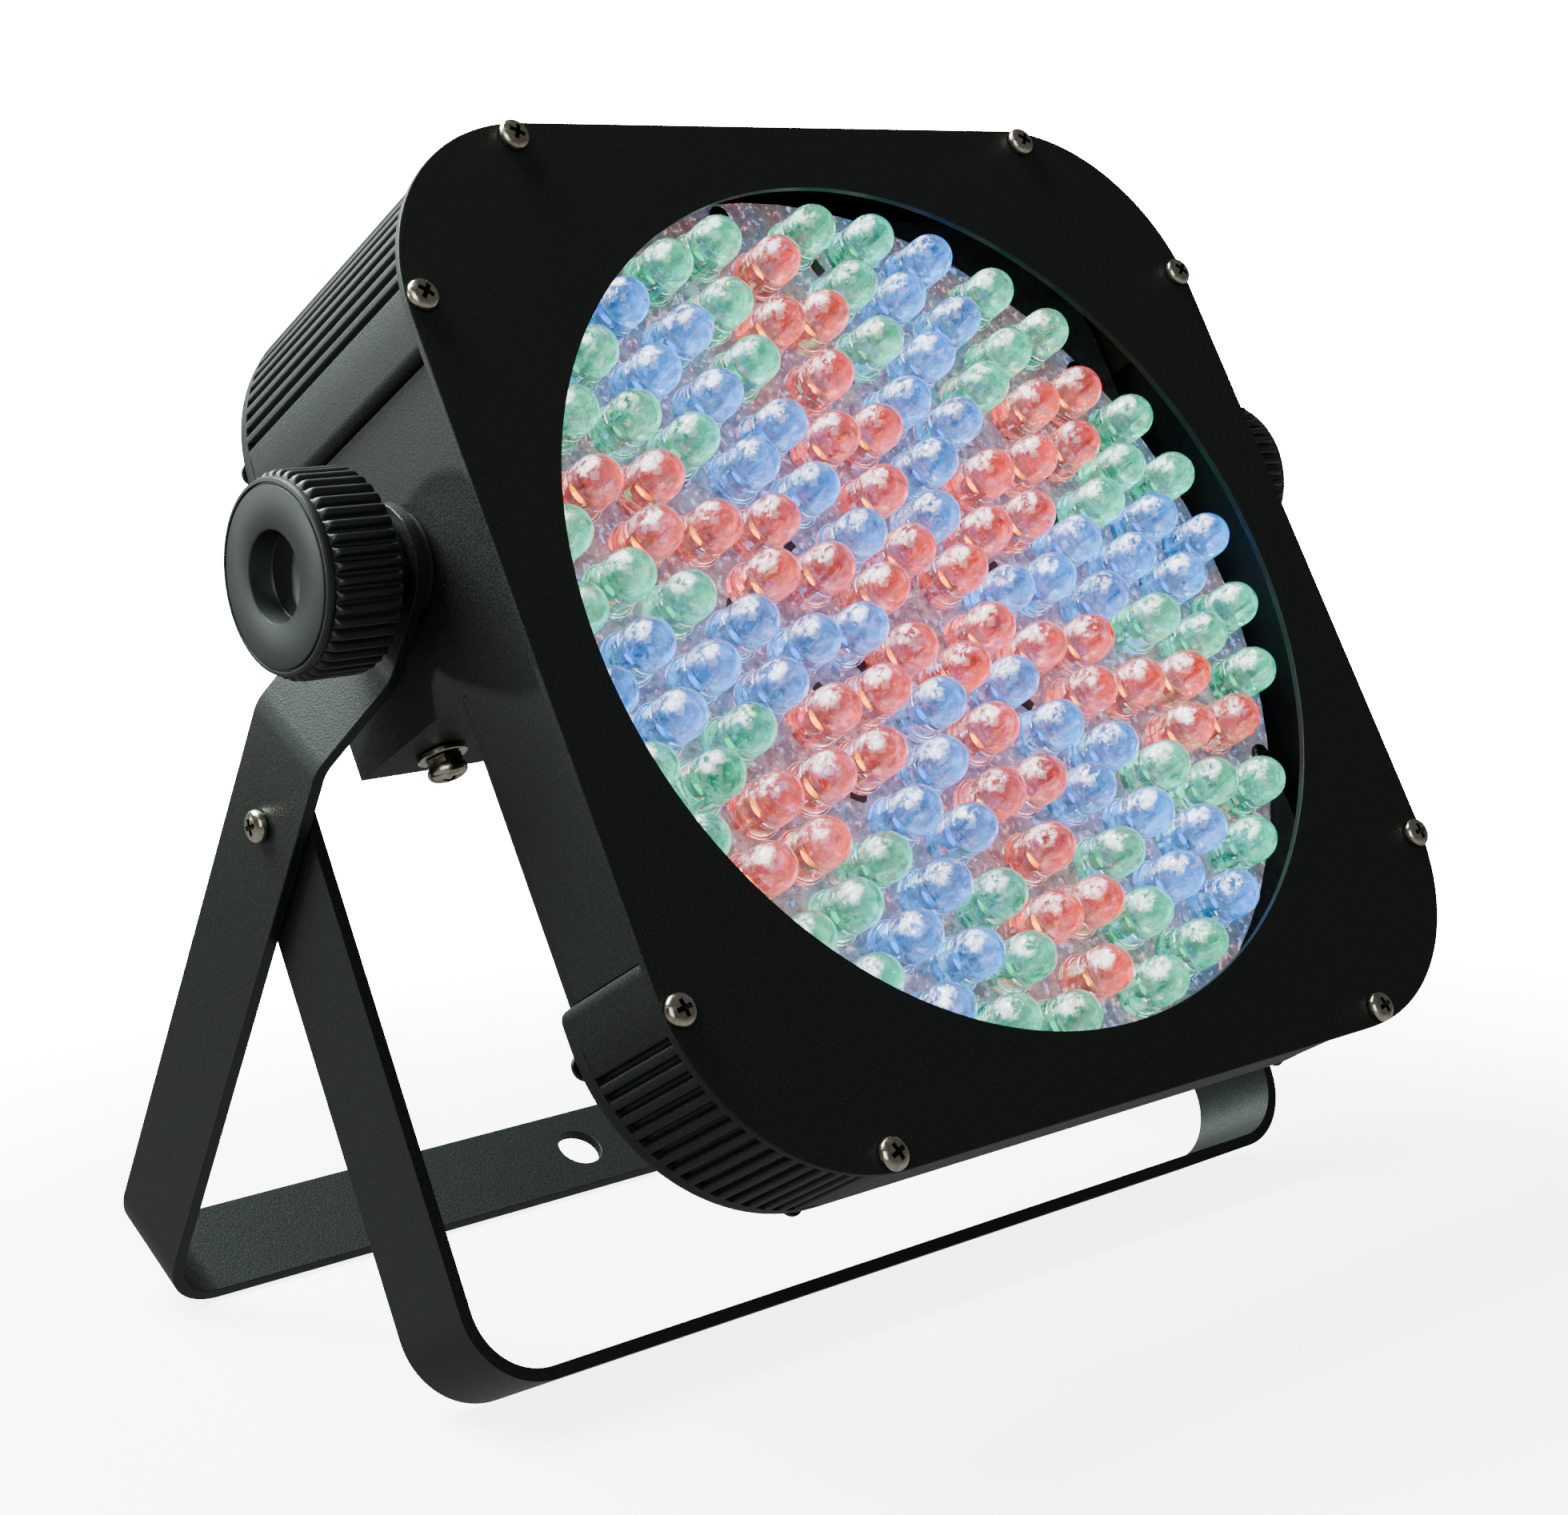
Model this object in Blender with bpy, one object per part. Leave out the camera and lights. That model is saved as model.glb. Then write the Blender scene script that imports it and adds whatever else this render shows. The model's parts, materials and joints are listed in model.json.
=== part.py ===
"""Slim LED par can on a double yoke.

A flat square head with rounded, ribbed corners carries a round field of 10 mm
LEDs behind a plate with a round window. The head tilts between the arms of a
U-shaped rear bracket, clamped by two side knobs. A second U-shaped bracket
pivots on the arms of the first and folds forward as a stand leg.

World frame: +Z up, the light faces -Y, +X is the right-hand side as seen from
the front. The origin is the centre of the bounding box's bottom face, where
both bracket bars rest on the ground.

The head has a frame of its own: x across, depth behind the front face of the
plate, up along the plate. Its empty, tilt_axis, sits on the tilt hinge and
turns the whole head. All lengths below are in millimetres.
"""

import bmesh
import bpy
from math import cos, pi, radians, sin
from mathutils import Vector
from mathutils.geometry import tessellate_polygon

MM = 0.001

# --- head attitude and place --------------------------------------------------
HEAD_TILT = 27.52  # degrees, nose up
AXIS_DEPTH = 31.22  # tilt axis behind the plate's front face
AXIS_UP = 30.42  # tilt axis above the window's centre
WINDOW_Y = -48.88  # window centre in the world
WINDOW_Z = 147.093

# --- front plate ---------------------------------------------------------------
PLATE_HALF = 105.0
PLATE_R = 40.0
PLATE_T = 1.5
WINDOW_R = 90.8
SCREW_NEAR = 68.4  # each plate screw sits at (near, far) or (far, near)
SCREW_FAR = 101.65
PLATE_HOLE_R = 1.75

# --- head body -------------------------------------------------------------------
GAP = 0.3  # between pieces that touch
BODY_HALF = 104.0  # over the corner blocks and the top and bottom walls
PANEL_HALF = 102.0  # recessed side panels
CORNER_C = 65.0  # centre of every corner radius
CORNER_R = BODY_HALF - CORNER_C
BLOCK_WALL = 4.7
BLOCK_END = 61.2  # full width of a block starts here
PANEL_END = 58.0  # side panel ends here
RIBS = 15
RIB_PITCH = 3.3
RIB_DEPTH = 1.3
WALL = 1.5
BODY_FRONT = PLATE_T + GAP
SLIM_REAR = 30.0  # lower half
DEEP_REAR = 69.0  # upper half
COVER_T = 1.5
LOWER_RIM = SLIM_REAR - 3.2  # front face of the lower cover's rim
UPPER_RIM = DEEP_REAR - 2.7
BOX_FLOOR = 2.0  # height of the deep box's underside

# --- light engine ------------------------------------------------------------------
BOARD_R = 98.0
BOARD_FRONT = 18.0
BOARD_T = 1.6
LED_R = 5.0
LED_TOP = 3.2
BOARD_SCREW_RING = 94.8
CHASSIS_FRONT = 24.0
CHASSIS_T = 1.5
CHASSIS_HALF = 96.5
# (ring radius, angle of the ring's first LED, spread to both sides), repeated six times round
RED = [(13.15, 35, 0), (26.4, 35, 0), (52.6, 35, 0), (79.0, 35, 0), (39.8, 35, 8.85), (66.0, 35, 5.4)]
BLUE = [(21.4, 5.4, 0), (34.5, 5.4, 0), (60.8, 5.4, 0), (86.0, 5.4, 0), (47.5, 5.4, 8.0), (73.4, 5.4, 5.65)]
GREEN = [(60.7, 35, 16.9), (73.4, 35, 13.9), (85.9, 35, 8.9), (85.9, 35, 19.3)]

# --- knobs --------------------------------------------------------------------------
KNOB_FACE = 129.7
KNOB_R = 19.0
KNOB_FACE_R = 17.9
KNOB_BACK = 114.0
HUB_R = 9.5
STUD_R = 4.0
STUD_END = 92.0

# --- brackets -------------------------------------------------------------------------
STRIP_W = 23.0
STRIP_T = 2.5
REAR_ANGLE = 32.02  # degrees behind the vertical
REAR_TAB = 107.0  # outer face at the knobs
REAR_ARM = 117.8  # outer face of the arms
TAB_END = 18.0  # along the arm from the tilt axis
ARM_START = 37.0
REAR_LENGTH = 181.1  # tilt axis to the bar's outer face
REAR_BEND = 14.0
PIVOT_S = 58.5  # pivot of the front bracket along the arm
BAR_HOLE_R = 5.3
FRONT_ANGLE = -25.17
FRONT_ARM = 114.9
FRONT_BEND = 16.0
KNOB_HOLE_R = 4.4
PIVOT_HOLE_R = 2.9

# --- rear controls and sockets ----------------------------------------------------------
DISPLAY_AT = (0.0, 62.0)
BUTTON_X = (-24.0, -8.0, 8.0, 24.0)
BUTTON_UP = 38.0
BUTTON_R = 4.0
SOCKET_DEPTH = 47.0
DMX_IN_X, DMX_OUT_X, INLET_X, FUSE_X = -58.0, -20.0, 26.0, 68.0
GROUND_SCREW = (-90.0, 57.0)


class Shape:
    """A closed surface put together from loops, the walls between them and filled caps."""

    def __init__(self, place=lambda a, b, h: (a, h, b)):
        self.place, self.flat, self.points, self.faces = place, [], [], []

    def loop(self, outline, h):
        start = len(self.points)
        for a, b in outline:
            self.flat.append(Vector((a, b, 0.0)))
            self.points.append(self.place(a, b, h))
        return list(range(start, len(self.points)))

    def wall(self, low, high):
        for i in range(len(low)):
            j = (i + 1) % len(low)
            self.faces.append((low[i], low[j], high[j], high[i]))

    def cap(self, outer, holes=()):
        if not holes:
            self.faces.append(tuple(outer))
            return
        loops = [outer, *holes]
        index = [i for loop in loops for i in loop]
        for triangle in tessellate_polygon([[self.flat[i] for i in loop] for loop in loops]):
            self.faces.append(tuple(index[k] for k in triangle))

    def rise(self, outline, h0, h1):
        """A wall from h0 to h1: gives its two loops."""
        low, high = self.loop(outline, h0), self.loop(outline, h1)
        self.wall(low, high)
        return low, high

    def post(self, outline, h0, h1):
        """A wall closed at h1: gives the loop at its foot."""
        low, high = self.rise(outline, h0, h1)
        self.cap(high)
        return low

    def mesh(self, name):
        mesh = bpy.data.meshes.new(name)
        mesh.from_pydata([Vector(p) * MM for p in self.points], [], self.faces)
        work = bmesh.new()
        work.from_mesh(mesh)
        bmesh.ops.remove_doubles(work, verts=work.verts, dist=1e-6)
        bmesh.ops.recalc_face_normals(work, faces=work.faces)
        work.to_mesh(mesh)
        work.free()
        mesh.shade_smooth()
        mesh.set_sharp_from_angle(angle=radians(35))
        return mesh


def circle(x, y, r, count, phase=0.0):
    return [(x + r * cos(phase + 2 * pi * i / count), y + r * sin(phase + 2 * pi * i / count)) for i in range(count)]


def arc(x, y, r, start, end, count):
    return [
        (x + r * cos(radians(start + (end - start) * i / count)), y + r * sin(radians(start + (end - start) * i / count)))
        for i in range(count + 1)
    ]


def box(x, y, half_x, half_y):
    return [(x - half_x, y - half_y), (x + half_x, y - half_y), (x + half_x, y + half_y), (x - half_x, y + half_y)]


def round_box(x, y, half_x, half_y, r, count=3):
    return (
        arc(x + half_x - r, y + half_y - r, r, 0, 90, count)
        + arc(x - half_x + r, y + half_y - r, r, 90, 180, count)
        + arc(x - half_x + r, y - half_y + r, r, 180, 270, count)
        + arc(x + half_x - r, y - half_y + r, r, 270, 360, count)
    )


def inset(outline, distance, share=None):
    """The outline, anticlockwise, moved in by a distance with mitred corners.

    share, where given, is the part of the distance that a point moves by.
    """
    full, moved = distance, []
    for i, here in enumerate(outline):
        distance = full * (share(*here) if share else 1.0)
        before, after = Vector(outline[i - 1]), Vector(outline[(i + 1) % len(outline)])
        here = Vector(here)
        a, b = (here - before).normalized(), (after - here).normalized()
        a, b = Vector((-a.y, a.x)), Vector((-b.y, b.x))
        moved.append(tuple(here + (a + b) * distance / (1.0 + a.dot(b))))
    return moved


def slab(outline, h0, h1, holes=(), place=lambda a, b, h: (a, h, b), soften=0.0, steps=2):
    """A plate with holes; soften rounds its outer edge at the h1 side."""
    shape = Shape(place)
    first = last = shape.loop(outline, h0)
    side = 1.0 if h1 > h0 else -1.0
    for k in range(steps + 1 if soften else 1):
        turn = radians(90.0 * k / steps) if soften else 0.0
        ring = shape.loop(
            inset(outline, soften * (1.0 - cos(turn))) if k else outline,
            h1 - side * soften * (1.0 - sin(turn)),
        )
        shape.wall(last, ring)
        last = ring
    bores = [shape.rise(hole, h0, h1) for hole in holes]
    shape.cap(first, [low for low, _ in bores])
    shape.cap(last, [high for _, high in bores])
    return shape


def lathe(profile, count, place, ring=False, phase=0.0):
    """A turned piece from (radius, height) pairs; a ring's profile closes on itself."""
    shape = Shape(place)
    loops = []
    for r, h in profile:
        loops.append(shape.loop([(0.0, 0.0)] if r == 0 else circle(0.0, 0.0, r, count, phase), h))
    pairs = list(zip(loops, loops[1:])) + ([(loops[-1], loops[0])] if ring else [])
    for low, high in pairs:
        if len(low) == 1 or len(high) == 1:
            tip, rim = (low[0], high) if len(low) == 1 else (high[0], low)
            for i in range(count):
                shape.faces.append((rim[i], rim[(i + 1) % count], tip))
        else:
            shape.wall(low, high)
    return shape


def material(name, colour, roughness, metallic):
    made = bpy.data.materials.new(name)
    made.use_nodes = True
    surface = made.node_tree.nodes["Principled BSDF"]
    surface.inputs["Base Color"].default_value = (*colour, 1.0)
    surface.inputs["Roughness"].default_value = roughness
    surface.inputs["Metallic"].default_value = metallic
    made.diffuse_color = (*colour, 1.0)
    return made


BLACK_COAT = ((0.022, 0.023, 0.023), 0.55, 0.3)
BLACK_STRIP = ((0.025, 0.027, 0.026), 0.45, 0.3)
BLACK_PLASTIC = ((0.02, 0.021, 0.021), 0.5, 0.0)
ZINC = ((0.62, 0.6, 0.52), 0.3, 0.9)
PALE_BOARD = ((0.72, 0.7, 0.7), 0.5, 0.0)
GREEN_BOARD = ((0.03, 0.16, 0.07), 0.5, 0.0)
CLEAR_LENS = ((0.8, 0.85, 0.85), 0.1, 0.0)
BARE_METAL = ((0.6, 0.61, 0.62), 0.4, 0.9)


def add(name, mesh, look, parent=None, at=(0.0, 0.0, 0.0), turn=0.0):
    """Puts a piece in the scene with its own material, at a place in its parent's frame."""
    if isinstance(mesh, Shape):
        mesh = mesh.mesh(name)
    if look and not mesh.materials:
        mesh.materials.append(material(name, *look))
    piece = bpy.data.objects.new(name, mesh)
    bpy.context.scene.collection.objects.link(piece)
    piece.parent = parent
    piece.location = Vector(at) * MM
    piece.rotation_euler.x = radians(turn)
    return piece


def axis_empty(name, at, turn, parent=None):
    empty = bpy.data.objects.new(name, None)
    bpy.context.scene.collection.objects.link(empty)
    empty.parent = parent
    empty.location = Vector(at) * MM
    empty.rotation_euler.x = radians(turn)
    return empty


def cut(piece, name, shape, at=(0.0, 0.0, 0.0)):
    """Cuts a shape, given in the piece's own frame, out of the piece."""
    cutter = add(name, shape, None, parent=piece, at=at)
    cutter.hide_render = True
    cutter.display_type = "WIRE"
    modifier = piece.modifiers.new(name, "BOOLEAN")
    modifier.operation = "DIFFERENCE"
    modifier.solver = "EXACT"
    modifier.object = cutter


def on_head(x=0.0, depth=0.0, up=0.0):
    """A place in the head's frame, counted from the tilt axis."""
    return (x, depth - AXIS_DEPTH, up - AXIS_UP)


def in_world(depth, up):
    """(y, z) in the world of a point of the head."""
    t = radians(HEAD_TILT)
    return (WINDOW_Y + cos(t) * depth + sin(t) * up, WINDOW_Z - sin(t) * depth + cos(t) * up)


# --- outlines of the head, anticlockwise in (x, up) --------------------------------------
def four_ways(quarter):
    """An outline from its quarter in +x, +up, given from the side to the top."""
    left = [(-x, u) for x, u in reversed(quarter)]
    return quarter + left + [(-x, -u) for x, u in quarter + left]


def shell_quarter(thinner=0.0):
    """The housing's wall, stepped in behind a corner block, less a thickness."""
    c, r = CORNER_C, CORNER_R - BLOCK_WALL - GAP - thinner
    end = PANEL_END - GAP - thinner
    top = BLOCK_END - GAP - 0.2 - thinner
    return (
        [(PANEL_HALF - thinner, end), (c + r, end)]
        + arc(c, c, r, 0, 90, 8)
        + [(top, c + r), (top, BODY_HALF - thinner)]
    )


def cover_side():
    """Right-hand edge of a rear cover, from the step in the side panel to the top."""
    return [(PANEL_HALF, PANEL_END), (BODY_HALF, BLOCK_END)] + arc(CORNER_C, CORNER_C, CORNER_R, 0, 90, 10)


def block_outline():
    """A corner block: flat ends, and a corner radius with grooves that leave ribs."""
    c, r = CORNER_C, CORNER_R
    outer = [(PANEL_HALF + 0.2, PANEL_END), (103.2, 58.7), (103.8, 59.8), (BODY_HALF, BLOCK_END), (BODY_HALF, c)]
    for k in range(RIBS):
        middle = pi / 4 + (k - (RIBS - 1) / 2) * RIB_PITCH / r
        for side, depth in ((-1.1, 0.0), (-0.45, RIB_DEPTH), (0.45, RIB_DEPTH), (1.1, 0.0)):
            angle = middle + side / r
            outer.append((c + (r - depth) * cos(angle), c + (r - depth) * sin(angle)))
    outer += [(c, BODY_HALF), (BLOCK_END - 0.2, BODY_HALF)]
    inner = arc(c, c, r - BLOCK_WALL, 90, 0, 8)
    return outer + [(BLOCK_END - 0.2, BODY_HALF - BLOCK_WALL)] + inner + [(BODY_HALF - BLOCK_WALL, PANEL_END)]


def flipped(outline, right, upper):
    sx, su = (1 if right else -1), (1 if upper else -1)
    return [(sx * x, su * u) for x, u in outline]


def along_x(side):
    """Turned pieces on a hinge: height runs outwards along the side's x."""
    return lambda a, b, h: (side * h, a, b)


def downwards(a, b, h):
    """Pieces on the underside of the deep box: height runs down, away from the floor's face."""
    return (a, b, -h)


def led_places():
    for rule in (RED, BLUE, GREEN):
        for r, start, spread in rule:
            for k in range(6):
                for offset in (-spread, spread) if spread else (0.0,):
                    angle = radians(start + offset + 60 * k)
                    yield r * cos(angle), r * sin(angle), angle


# --- brackets ---------------------------------------------------------------------------
def bent_strip(path, width_at, thickness):
    """A flat strip bent along a path in (x, s), s running down the arms.

    The path is the strip's outer face. width_at gives the half width at each point.
    """
    shape = Shape()
    points = [Vector(p) for p in path]
    rings = []
    for i, here in enumerate(points):
        a = (here - points[max(i - 1, 0)]).normalized() if i else (points[1] - here).normalized()
        b = (points[min(i + 1, len(points) - 1)] - here).normalized() if i < len(points) - 1 else a
        a, b = Vector((-a.y, a.x)), Vector((-b.y, b.x))
        inner = here - (a + b) * thickness / (1.0 + a.dot(b))
        w = width_at[i]
        start = len(shape.points)
        for p, side in ((here, -w), (here, w), (inner, w), (inner, -w)):
            shape.flat.append(Vector((p.x, p.y, 0.0)))
            shape.points.append((p.x, side, -p.y))
        rings.append(list(range(start, start + 4)))
    for low, high in zip(rings, rings[1:]):
        shape.wall(low, high)
    shape.faces += [tuple(rings[0]), tuple(rings[-1])]
    return shape


def u_path(half_profile, bend, arm, length):
    """Both arms and the bar, from the left arm's end to the right one's."""
    left = [(-x, s) for x, s in half_profile]
    corner = [
        (-(arm - bend + bend * cos(radians(90.0 * k / 6))), length - bend + bend * sin(radians(90.0 * k / 6)))
        for k in range(7)
    ]
    left += corner
    return left + [(-x, s) for x, s in reversed(left)]


def arm_end(x):
    """The rounded end of an arm: (point, half width) pairs up to the hole's level."""
    half = STRIP_W / 2
    return [((x, -half * cos(radians(a))), half * sin(radians(a))) for a in (12, 30, 50, 70, 90)]


def bracket(profile, bend, arm, length):
    path = u_path([p for p, _ in profile], bend, arm, length)
    widths = [w for _, w in profile]
    half = STRIP_W / 2
    middle = [half] * (len(path) - 2 * len(widths))
    return bent_strip(path, widths + middle + widths[::-1], STRIP_T)


def main():
    for old in list(bpy.data.objects):
        bpy.data.objects.remove(old, do_unlink=True)

    axis_y, axis_z = in_world(AXIS_DEPTH, AXIS_UP)
    head = axis_empty("tilt_axis", (0.0, axis_y, axis_z), -HEAD_TILT)

    # --- front plate and corner blocks
    screws = [(sx * a, su * b) for a, b in ((SCREW_NEAR, SCREW_FAR), (SCREW_FAR, SCREW_NEAR)) for sx in (-1, 1) for su in (-1, 1)]
    plate_outline = round_box(0.0, 0.0, PLATE_HALF, PLATE_HALF, PLATE_R, 9)
    holes = [circle(0.0, 0.0, WINDOW_R, 60)] + [circle(x, u, PLATE_HOLE_R, 8) for x, u in screws]
    add("front_plate", slab(plate_outline, 0.0, PLATE_T, holes), BLACK_COAT, head, on_head())

    for upper in (True, False):
        for right in (True, False):
            name = f"corner_block_{'upper' if upper else 'lower'}_{'right' if right else 'left'}"
            outline = flipped(block_outline(), right, upper)
            bores = [flipped(circle(x, u, 1.5, 10), right, upper) for x, u in ((SCREW_NEAR, SCREW_FAR), (SCREW_FAR, SCREW_NEAR))]
            rear = (UPPER_RIM if upper else LOWER_RIM) - GAP
            add(name, slab(outline, BODY_FRONT, rear, bores), BLACK_COAT, head, on_head())

    # --- housing: one sheet shell, a slim tray below and a deep box above
    outer = four_ways(shell_quarter())
    housing = add("housing_shell", slab(outer, BODY_FRONT, UPPER_RIM - GAP), BLACK_COAT, head, on_head())
    cut(housing, "cut_slim_half", slab(box(0.0, BOX_FLOOR - 100.0, 150.0, 100.0), LOWER_RIM - GAP, 90.0))
    cut(housing, "cut_tray_inside", slab(four_ways(shell_quarter(WALL)), -5.0, 28.0))
    quarter = shell_quarter(WALL + 0.1)
    floor_up = BOX_FLOOR + WALL
    deep = [(quarter[0][0], floor_up)] + quarter + [(-x, u) for x, u in reversed(quarter)] + [(-quarter[0][0], floor_up)]
    cut(housing, "cut_box_inside", slab(deep, 20.0, 90.0))
    cut(housing, "cut_knob_seats", lathe([(0, -130), (5.6, -130), (5.6, 130), (0, 130)], 20, lambda a, b, h: (h, AXIS_DEPTH + a, AXIS_UP + b)))
    floor_cuts = (
        ("cut_dmx_in", circle(DMX_IN_X, SOCKET_DEPTH, 12.3, 20)),
        ("cut_dmx_out", circle(DMX_OUT_X, SOCKET_DEPTH, 12.3, 20)),
        ("cut_inlet", box(INLET_X, SOCKET_DEPTH, 14.2, 10.4)),
        ("cut_fuse", circle(FUSE_X, SOCKET_DEPTH, 6.4, 14)),
        ("cut_ground", circle(*GROUND_SCREW, 2.3, 10)),
    )
    for name, outline in floor_cuts:
        cut(housing, name, slab(outline, -6.0, 3.0, place=downwards))

    # --- rear covers, each a sheet with a raised rim that meets the housing and the blocks
    side = cover_side()
    upper_outline = [(PANEL_HALF, BOX_FLOOR)] + side + [(-x, u) for x, u in reversed(side)] + [(-PANEL_HALF, BOX_FLOOR)]
    inner = 6.5

    def pocket(low):
        c, r = CORNER_C, CORNER_R - inner
        half = [(PANEL_HALF - inner, low)] + arc(c, c, r - 2.0, 0, 90, 8)
        return half + [(-x, u) for x, u in reversed(half)]

    def edge_share(x, u):
        """The cover's edge is rounded along the side panels, and barely broken elsewhere."""
        return 1.0 if abs(x) < PANEL_HALF + 0.1 and abs(u) < PANEL_END + 0.1 else 0.16

    def cover(outline, pocket_outline, rim, rear, bores, soften):
        """Sheet with a pocket on its inner side."""
        shape = Shape()
        front = shape.loop(outline, rim)
        last = front
        for k in range(4):
            turn = radians(30.0 * k)
            ring = shape.loop(inset(outline, soften * (1.0 - cos(turn)), edge_share) if k else outline, rear - soften * (1.0 - sin(turn)))
            shape.wall(last, ring)
            last = ring
        mouth, bottom = shape.rise(pocket_outline, rim, rear - COVER_T)
        rim_bores = [shape.rise(b, rim, rear) for b in bores["rim"]]
        sheet_bores = [shape.rise(b, rear - COVER_T, rear) for b in bores["sheet"]]
        shape.cap(front, [mouth] + [low for low, _ in rim_bores])
        shape.cap(bottom, [low for low, _ in sheet_bores])
        shape.cap(last, [high for _, high in rim_bores + sheet_bores])
        return shape

    upper_bores = {
        "rim": [circle(x, u, 1.5, 10) for x, u in screws if u > 0],
        "sheet": [box(*DISPLAY_AT, 21.0, 8.0)] + [circle(x, BUTTON_UP, BUTTON_R + 0.4, 14) for x in BUTTON_X],
    }
    add("upper_rear_cover", cover(upper_outline, pocket(8.5), UPPER_RIM, DEEP_REAR, upper_bores, 1.5), BLACK_COAT, head, on_head())
    lower_outline = [(-x, -u) for x, u in [(PANEL_HALF, -BOX_FLOOR + GAP)] + side + [(-x, u) for x, u in reversed(side)] + [(-PANEL_HALF, -BOX_FLOOR + GAP)]]
    lower_bores = {"rim": [circle(x, u, 1.5, 10) for x, u in screws if u < 0], "sheet": []}
    lower_pocket = [(-x, -u) for x, u in pocket(6.5)]
    add("lower_rear_cover", cover(lower_outline, lower_pocket, LOWER_RIM, SLIM_REAR, lower_bores, 2.4), BLACK_COAT, head, on_head())

    # --- screws of the plate, the covers and the LED board
    screw = lathe(
        [(0, -2.45), (1.9, -2.2), (3.15, -1.1), (3.15, -GAP), (1.2, -GAP), (1.2, 9.0), (0, 9.8)],
        10,
        lambda a, b, h: (a, h, b),
    ).mesh("m3_pan_screw")
    screw.materials.append(material("m3_pan_screw", *ZINC))
    for i, (x, u) in enumerate(screws):
        add(f"plate_screw_{i + 1}", screw, None, head, on_head(x, 0.0, u))
    for i, (x, u) in enumerate(screws):
        back = add(f"cover_screw_{i + 1}", screw, None, head, on_head(x, DEEP_REAR if u > 0 else SLIM_REAR, u))
        back.rotation_euler.x = pi
    board_screws = [(BOARD_SCREW_RING * cos(radians(35 + 60 * k)), BOARD_SCREW_RING * sin(radians(35 + 60 * k))) for k in range(6)]
    small = lathe(
        [(0, -1.9), (1.5, -1.7), (2.3, -1.0), (2.3, -GAP), (1.1, -GAP), (1.1, 5.2), (0, 5.6)], 10, lambda a, b, h: (a, h, b)
    ).mesh("m2_5_board_screw")
    small.materials.append(material("m2_5_board_screw", (0.03, 0.03, 0.03), 0.4, 0.6))
    for i, (x, u) in enumerate(board_screws):
        add(f"board_screw_{i + 1}", small, None, head, on_head(x, BOARD_FRONT, u))

    # --- LED board, LED array, chassis plate
    board = slab(circle(0.0, 0.0, BOARD_R, 64), BOARD_FRONT, BOARD_FRONT + BOARD_T, [circle(x, u, 1.45, 10) for x, u in board_screws])
    add("led_board", board, PALE_BOARD, head, on_head())
    field = Shape()
    sheet_front, sheet_back = BOARD_FRONT - 0.8, BOARD_FRONT - GAP
    rim_back, rim_front = field.rise(circle(0.0, 0.0, 91.8, 48), sheet_back, sheet_front)
    feet = [field.post(circle(x, u, LED_R, 6, angle), sheet_front, LED_TOP) for x, u, angle in led_places()]
    field.cap(rim_back)
    field.cap(rim_front, feet)
    add("led_array", field, CLEAR_LENS, head, on_head())
    chassis = Shape()
    chassis_rear = CHASSIS_FRONT + CHASSIS_T
    low, high = chassis.rise(round_box(0.0, 0.0, CHASSIS_HALF, CHASSIS_HALF, 31.5, 6), CHASSIS_FRONT, chassis_rear)
    boss_top = BOARD_FRONT + BOARD_T + GAP
    feet = []
    for x, u in board_screws:
        foot, top = chassis.rise(circle(x, u, 3.2, 10), CHASSIS_FRONT, boss_top)
        bore = chassis.post(circle(x, u, 1.4, 8), boss_top, CHASSIS_FRONT + 0.4)
        chassis.cap(top, [bore])
        feet.append(foot)
    driver_posts = [(54.0, 40.0), (82.0, 40.0), (54.0, 76.0), (82.0, 76.0)]
    chassis.cap(low, feet)
    chassis.cap(high, [chassis.post(circle(x, u, 3.0, 8), chassis_rear, 28.2) for x, u in driver_posts])
    add("chassis_plate", chassis, BARE_METAL, head, on_head())

    # --- electronics
    driver = Shape()
    low, high = driver.rise(box(68.0, 58.0, 18.0, 22.0), 28.5, 30.1)
    driver.cap(low)
    parts = [(60.0, 48.0, 6.0, 5.0, 38.0), (76.0, 48.0, 5.0, 5.0, 42.0), (60.0, 66.0, 4.0, 8.0, 36.0), (77.0, 67.0, 6.0, 6.0, 34.0)]
    driver.cap(high, [driver.post(box(x, u, hx, hu), 30.1, top) for x, u, hx, hu, top in parts])
    add("driver_board", driver, GREEN_BOARD, head, on_head())
    add("power_supply", slab(round_box(0.0, 61.0, 44.0, 31.0, 2.0, 2), chassis_rear + GAP, 54.0), BARE_METAL, head, on_head())
    display = Shape()
    inside = DEEP_REAR - COVER_T - GAP
    low, high = display.rise(box(0.0, 51.0, 38.0, 25.0), 56.0, 57.6)
    display.cap(low)
    base, step = display.rise(box(*DISPLAY_AT, 25.0, 10.5), 57.6, inside)
    window = display.post(box(*DISPLAY_AT, 20.7, 7.7), inside, DEEP_REAR - 0.3)
    display.cap(step, [window])
    feet = [base] + [display.post(box(x, BUTTON_UP, 3.0, 3.0), 57.6, 61.0) for x in BUTTON_X]
    feet += [display.post(circle(x, u, 2.4, 8), 57.6, inside) for x, u in ((-34.0, 30.0), (34.0, 30.0), (-34.0, 72.0), (34.0, 72.0))]
    display.cap(high, feet)
    add("display_board", display, GREEN_BOARD, head, on_head())
    button = lathe(
        [(0, 62.4), (2.5, 62.4), (2.5, 65.2), (5.2, 65.2), (5.2, inside), (BUTTON_R, inside), (BUTTON_R, 70.2), (3.4, 70.8), (0, 70.8)],
        14,
        lambda a, b, h: (a, h - DEEP_REAR, b),
    ).mesh("push_button")
    button.materials.append(material("push_button", *BLACK_PLASTIC))
    for i, x in enumerate(BUTTON_X):
        add(f"button_{i + 1}", button, None, head, on_head(x, DEEP_REAR, BUTTON_UP))

    # --- sockets on the underside of the deep box, heights counted down from its face
    flange_up = BOX_FLOOR - GAP

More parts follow.
